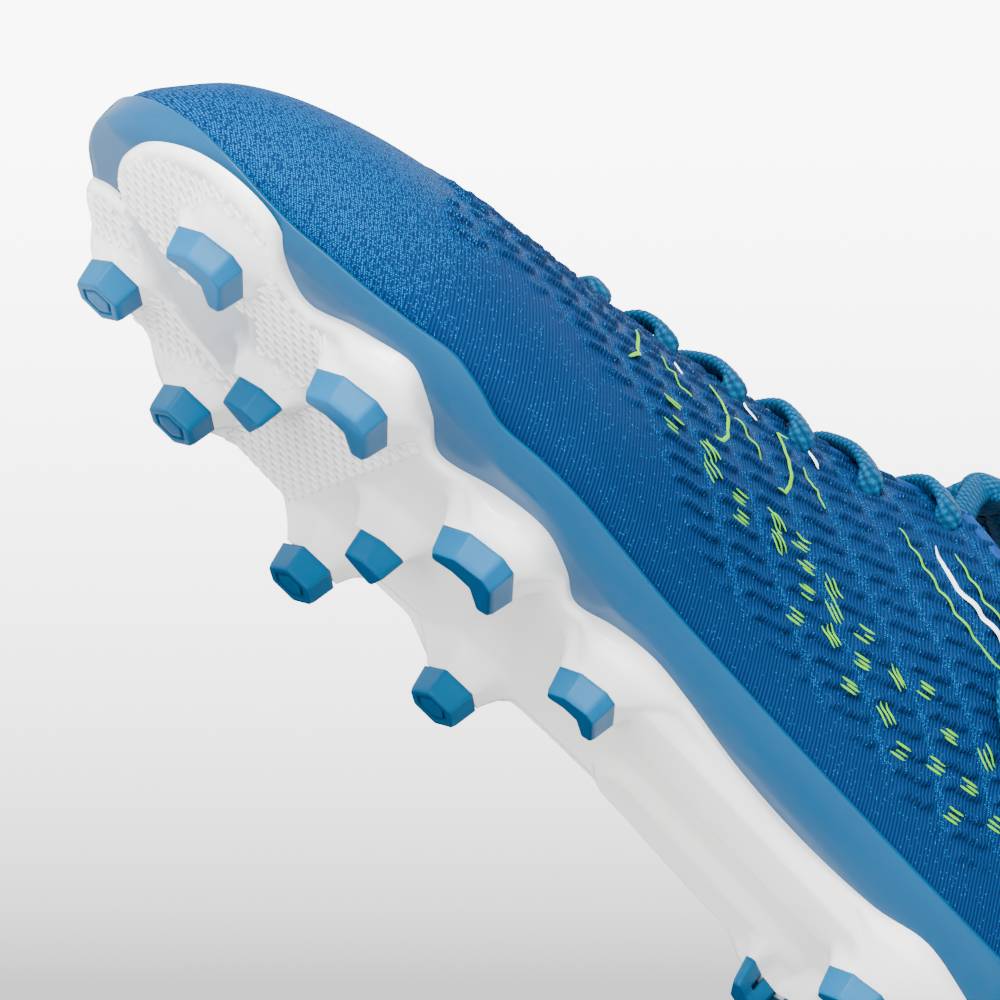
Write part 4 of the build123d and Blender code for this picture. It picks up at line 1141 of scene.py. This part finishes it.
class CLEAT_OT_tongue(Operator):
    """Pad the tongue under the laces"""
    bl_idname = "cleat.tongue"
    bl_label = "Tongue"

    def execute(self, context):
        last = cleat_last(context)
        line = np.array(TONGUE_SHAPE)
        t = np.linspace(line[0, 0], line[-1, 0], 120)[:, None]
        reach = 26.0 * monotone(line[:, 0], line[:, 1], t)
        share = np.linspace(-1, 1, 61)
        side = np.where(share < 0, -1.0, 1.0)
        turn = last.turn_at_width(t, side, np.abs(share) * reach)
        ends = np.clip(np.minimum(t - line[0, 0], line[-1, 0] - t) / 0.012, 0, 1)
        round_ = np.sqrt(np.clip(1 - np.maximum(np.abs(share) ** 10, (1 - ends) ** 2), 0, 1))
        middle = TONGUE_DEPTH + TONGUE_THICKNESS / 2
        upper = last.point(t, side, turn, middle - round_ * TONGUE_THICKNESS / 2)
        lower = last.point(t, side, turn, middle + round_ * TONGUE_THICKNESS / 2)
        size = upper.shape[0] * upper.shape[1]
        quads = grid_faces(*upper.shape[:2])
        uv = np.stack((upper[..., 0], upper[..., 1]), axis=-1).reshape(-1, 2)
        pad = add_mesh("tongue_pad", np.concatenate((upper.reshape(-1, 3), lower.reshape(-1, 3))),
                       np.concatenate((quads, quads[:, ::-1] + size)), finish("lining"), body="tongue",
                       replaced=("tongue_cover", "tongue_lining"),
                       uv=np.concatenate((uv, uv)), weld=0.01)
        return {"FINISHED"}


class CLEAT_OT_sockliner(Operator):
    """Cover the sockliner"""
    bl_idname = "cleat.sockliner"
    bl_label = "Sockliner"

    def execute(self, context):
        last = cleat_last(context)
        t = np.linspace(0.012, 0.965, 200)[:, None]
        share = np.linspace(-1, 1, 61)
        side = np.where(share < 0, -1.0, 1.0)
        turn = np.where(np.abs(share) > 0.7, (np.abs(share) - 0.7) / 0.3 * 0.5, (np.abs(share) / 0.7) - 1)
        spots = last.point(t, side, turn, SOCK_TOP - 0.02)
        uv = np.stack((spots[..., 0], spots[..., 1]), axis=-1).reshape(-1, 2)
        add_mesh("sockliner_top", spots.reshape(-1, 3), grid_faces(*spots.shape[:2])[:, ::-1],
                 finish("sock"), body="sockliner", replaced=("sockliner_cover",), uv=uv)
        return {"FINISHED"}


class CLEAT_OT_laces(Operator):
    """Lace the throat and tie the bow"""
    bl_idname = "cleat.laces"
    bl_label = "Laces"

    def braid(self, name, path, sizes, replaced, across=None):
        points, faces, uv, weave = sweep(path, sizes.lace_width / MM, sizes.lace_thickness / MM, across,
                                         around=28, braid=0.22)
        return add_mesh(name, points, faces, finish("lace"), replaced=(replaced,), uv=uv,
                        values={"weave": weave})

    def execute(self, context):
        last, sizes = cleat_last(context), context.scene.cleat_sizes
        for k, side in ((1, 1), (2, -1)):
            self.braid(f"lace_strand_{k}", nurbs_path(lace_route(last, side)), sizes,
                       f"lace_crossings_{k}", across=(1, 0, 0))
        self.knot(last)
        for side, name in ((1, "lateral"), (-1, "medial")):
            loop, end = (nurbs_path(route) for route in bow_routes(last, side))
            for kind, path, far in (("loop", loop, "knot"), ("end", end, "fitting")):
                cord = self.braid(f"bow_{kind}_{name}", path, sizes, f"lace_{kind}_{name}")
                route = (path - ORIGIN) * MM
                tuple(route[0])
        return {"FINISHED"}

    def knot(self, last):
        turn, rise = np.meshgrid(np.linspace(0, 2 * math.pi, 64, endpoint=False),
                                 np.linspace(-1.5, 1.5, 40))
        weave = np.abs(np.sin(9 * turn + 9 * rise) * np.sin(9 * turn - 9 * rise))
        size = 1 + 0.02 * weave + 0.05 * np.sin(2 * turn + 2 * rise)
        ball = np.stack((5.2 * np.cos(rise) * np.cos(turn) * size, 6.1 * np.cos(rise) * np.sin(turn) * size,
                         3.8 * np.sin(rise) * size), axis=-1)
        points = ball.reshape(-1, 3) @ np.array(Matrix.Rotation(math.radians(20), 3, "Y")).T
        add_mesh("lace_knot_body", points + knot_centre(last), grid_faces(40, 64, True), finish("lace"),
                 replaced=("lace_knot",), uv=np.column_stack((turn.ravel(), rise.ravel())),
                 values={"weave": weave.ravel()})


class CLEAT_OT_stage(Operator):
    """Set the floor, the backdrop, the lights and the camera"""
    bl_idname = "cleat.stage"
    bl_label = "Stage"

    def lamp(self, name, spot, aim, size, power, colour=(1, 1, 1)):
        light = bpy.data.lights.new(name, "AREA")
        light.shape, light.size, light.energy, light.color = "DISK", size, power, colour
        obj = bpy.data.objects.new(name, light)
        obj.location = spot
        obj.rotation_euler = (Vector(aim) - Vector(spot)).to_track_quat("-Z", "Y").to_euler()
        bpy.context.scene.collection.objects.link(obj)

    def floor(self, size):
        mesh = bpy.data.meshes.new("floor")
        h = size / 2
        mesh.from_pydata([(-h, -h, 0), (h, -h, 0), (h, h, 0), (-h, h, 0)], [], [(0, 1, 2, 3)])
        look = Finish("floor_paper", 0.7)
        look.colour(look.mix(look.noise(3.0), srgb(226, 227, 228), srgb(232, 232, 233)))
        clear = look.node("ShaderNodeBsdfTransparent").outputs[0]
        behind = look.node("ShaderNodeNewGeometry").outputs["Backfacing"]
        both = look.node("ShaderNodeMixShader", {0: behind, 1: look.shader.outputs[0], 2: clear})
        out = next(n for n in look.tree.nodes if n.type == "OUTPUT_MATERIAL")
        look.tree.links.new(both.outputs[0], out.inputs[0])
        mesh.materials.append(look.material)
        obj = bpy.data.objects.new("floor", mesh)
        obj.visible_shadow = False
        bpy.context.scene.collection.objects.link(obj)

    def backdrop(self, stage, up):
        world = bpy.data.worlds.new("backdrop")
        bpy.context.scene.world = world
        world.use_nodes = True
        tree = world.node_tree
        back = next(n for n in tree.nodes if n.type == "BACKGROUND")
        spots = tree.nodes.new("ShaderNodeTexCoord")
        rise = tree.nodes.new("ShaderNodeVectorMath")
        rise.operation = "DOT_PRODUCT"
        rise.inputs[1].default_value = up
        spread = tree.nodes.new("ShaderNodeMapRange")
        spread.inputs["From Min"].default_value, spread.inputs["From Max"].default_value = -0.07, 0.07
        blend = tree.nodes.new("ShaderNodeMix")
        blend.data_type = "RGBA"
        blend.inputs[6].default_value = (*stage.backdrop_foot, 1)
        blend.inputs[7].default_value = (*stage.backdrop_top, 1)
        tree.links.new(spots.outputs["Generated"], rise.inputs[0])
        tree.links.new(rise.outputs["Value"], spread.inputs["Value"])
        tree.links.new(spread.outputs[0], blend.inputs[0])
        tree.links.new(blend.outputs[2], back.inputs["Color"])
        seen = tree.nodes.new("ShaderNodeLightPath")
        power = tree.nodes.new("ShaderNodeMapRange")
        power.inputs["To Min"].default_value, power.inputs["To Max"].default_value = 1.9, 9.0
        tree.links.new(seen.outputs["Is Camera Ray"], power.inputs["Value"])
        tree.links.new(power.outputs[0], back.inputs["Strength"])

    def execute(self, context):
        stage = context.scene.cleat_stage
        al, e, roll = (math.radians(a) for a in (11.75, 22.44, 42.37))
        p = Vector((math.sin(al) * math.cos(e), math.cos(al) * math.cos(e), -math.sin(e)))
        side = (-p).cross(Vector((0, 0, 1))).normalized()
        rise = side.cross(-p)
        right = side * math.cos(roll) + rise * math.sin(roll)
        up = -side * math.sin(roll) + rise * math.cos(roll)
        ball = Vector((0.04675, -0.00027, 0))
        aim = ball + right * 0.0261 + up * 0.00755
        eye = bpy.data.cameras.new("camera")
        eye.lens, eye.sensor_width, eye.clip_start, eye.clip_end = stage.focal_length, 36, 0.05, 20
        camera = bpy.data.objects.new("camera", eye)
        spot = ball + p * stage.distance
        ahead = (aim - spot).normalized()
        sideways = (right - ahead * right.dot(ahead)).normalized()
        upright = sideways.cross(ahead)
        camera.matrix_world = Matrix((sideways, upright, -ahead)).transposed().to_4x4()
        camera.location = spot
        context.scene.collection.objects.link(camera)
        context.scene.camera = camera
        self.backdrop(stage, up)
        self.floor(stage.floor_size)
        centre = Vector((0, 0, 0.03))
        self.lamp("key", centre + (p * 0.55 + up * 0.85) * 1.3, centre, 0.9, 54.0)
        self.lamp("front_fill", centre + (p - right * 0.5) * 1.4, centre, 1.2, 36.0)
        self.lamp("top_fill", Vector((-0.5, -0.6, 1.3)), centre, 1.0, 12.0)
        return {"FINISHED"}


class CLEAT_PT_panel(Panel):
    """Builds the cleat piece by piece"""
    bl_idname = "CLEAT_PT_panel"
    bl_label = "Soccer cleat"
    bl_space_type = "VIEW_3D"
    bl_region_type = "UI"
    bl_category = "Cleat"

    def draw(self, context):
        for group in (context.scene.cleat_sizes, context.scene.cleat_stage):
            for key in group.__annotations__:
                self.layout.prop(group, key)
        for operator in OPERATORS:
            self.layout.operator(operator.bl_idname)


OPERATORS = (CLEAT_OT_inner_layers, CLEAT_OT_upper, CLEAT_OT_edges, CLEAT_OT_prints, CLEAT_OT_lining,
             CLEAT_OT_rand, CLEAT_OT_outsole, CLEAT_OT_tongue, CLEAT_OT_sockliner, CLEAT_OT_laces,
             CLEAT_OT_stage)
CLASSES = (CleatSizes, CleatStage, *OPERATORS, CLEAT_PT_panel)


def register():
    for cls in CLASSES:
        bpy.utils.register_class(cls)
    bpy.types.Scene.cleat_sizes = PointerProperty(type=CleatSizes)
    bpy.types.Scene.cleat_stage = PointerProperty(type=CleatStage)


def unregister():
    del bpy.types.Scene.cleat_stage
    del bpy.types.Scene.cleat_sizes
    for cls in reversed(CLASSES):
        bpy.utils.unregister_class(cls)


def main():
    register()
    for operator in OPERATORS:
        group, name = operator.bl_idname.split(".")
        getattr(getattr(bpy.ops, group), name)()


if __name__ == "__main__":
    main()
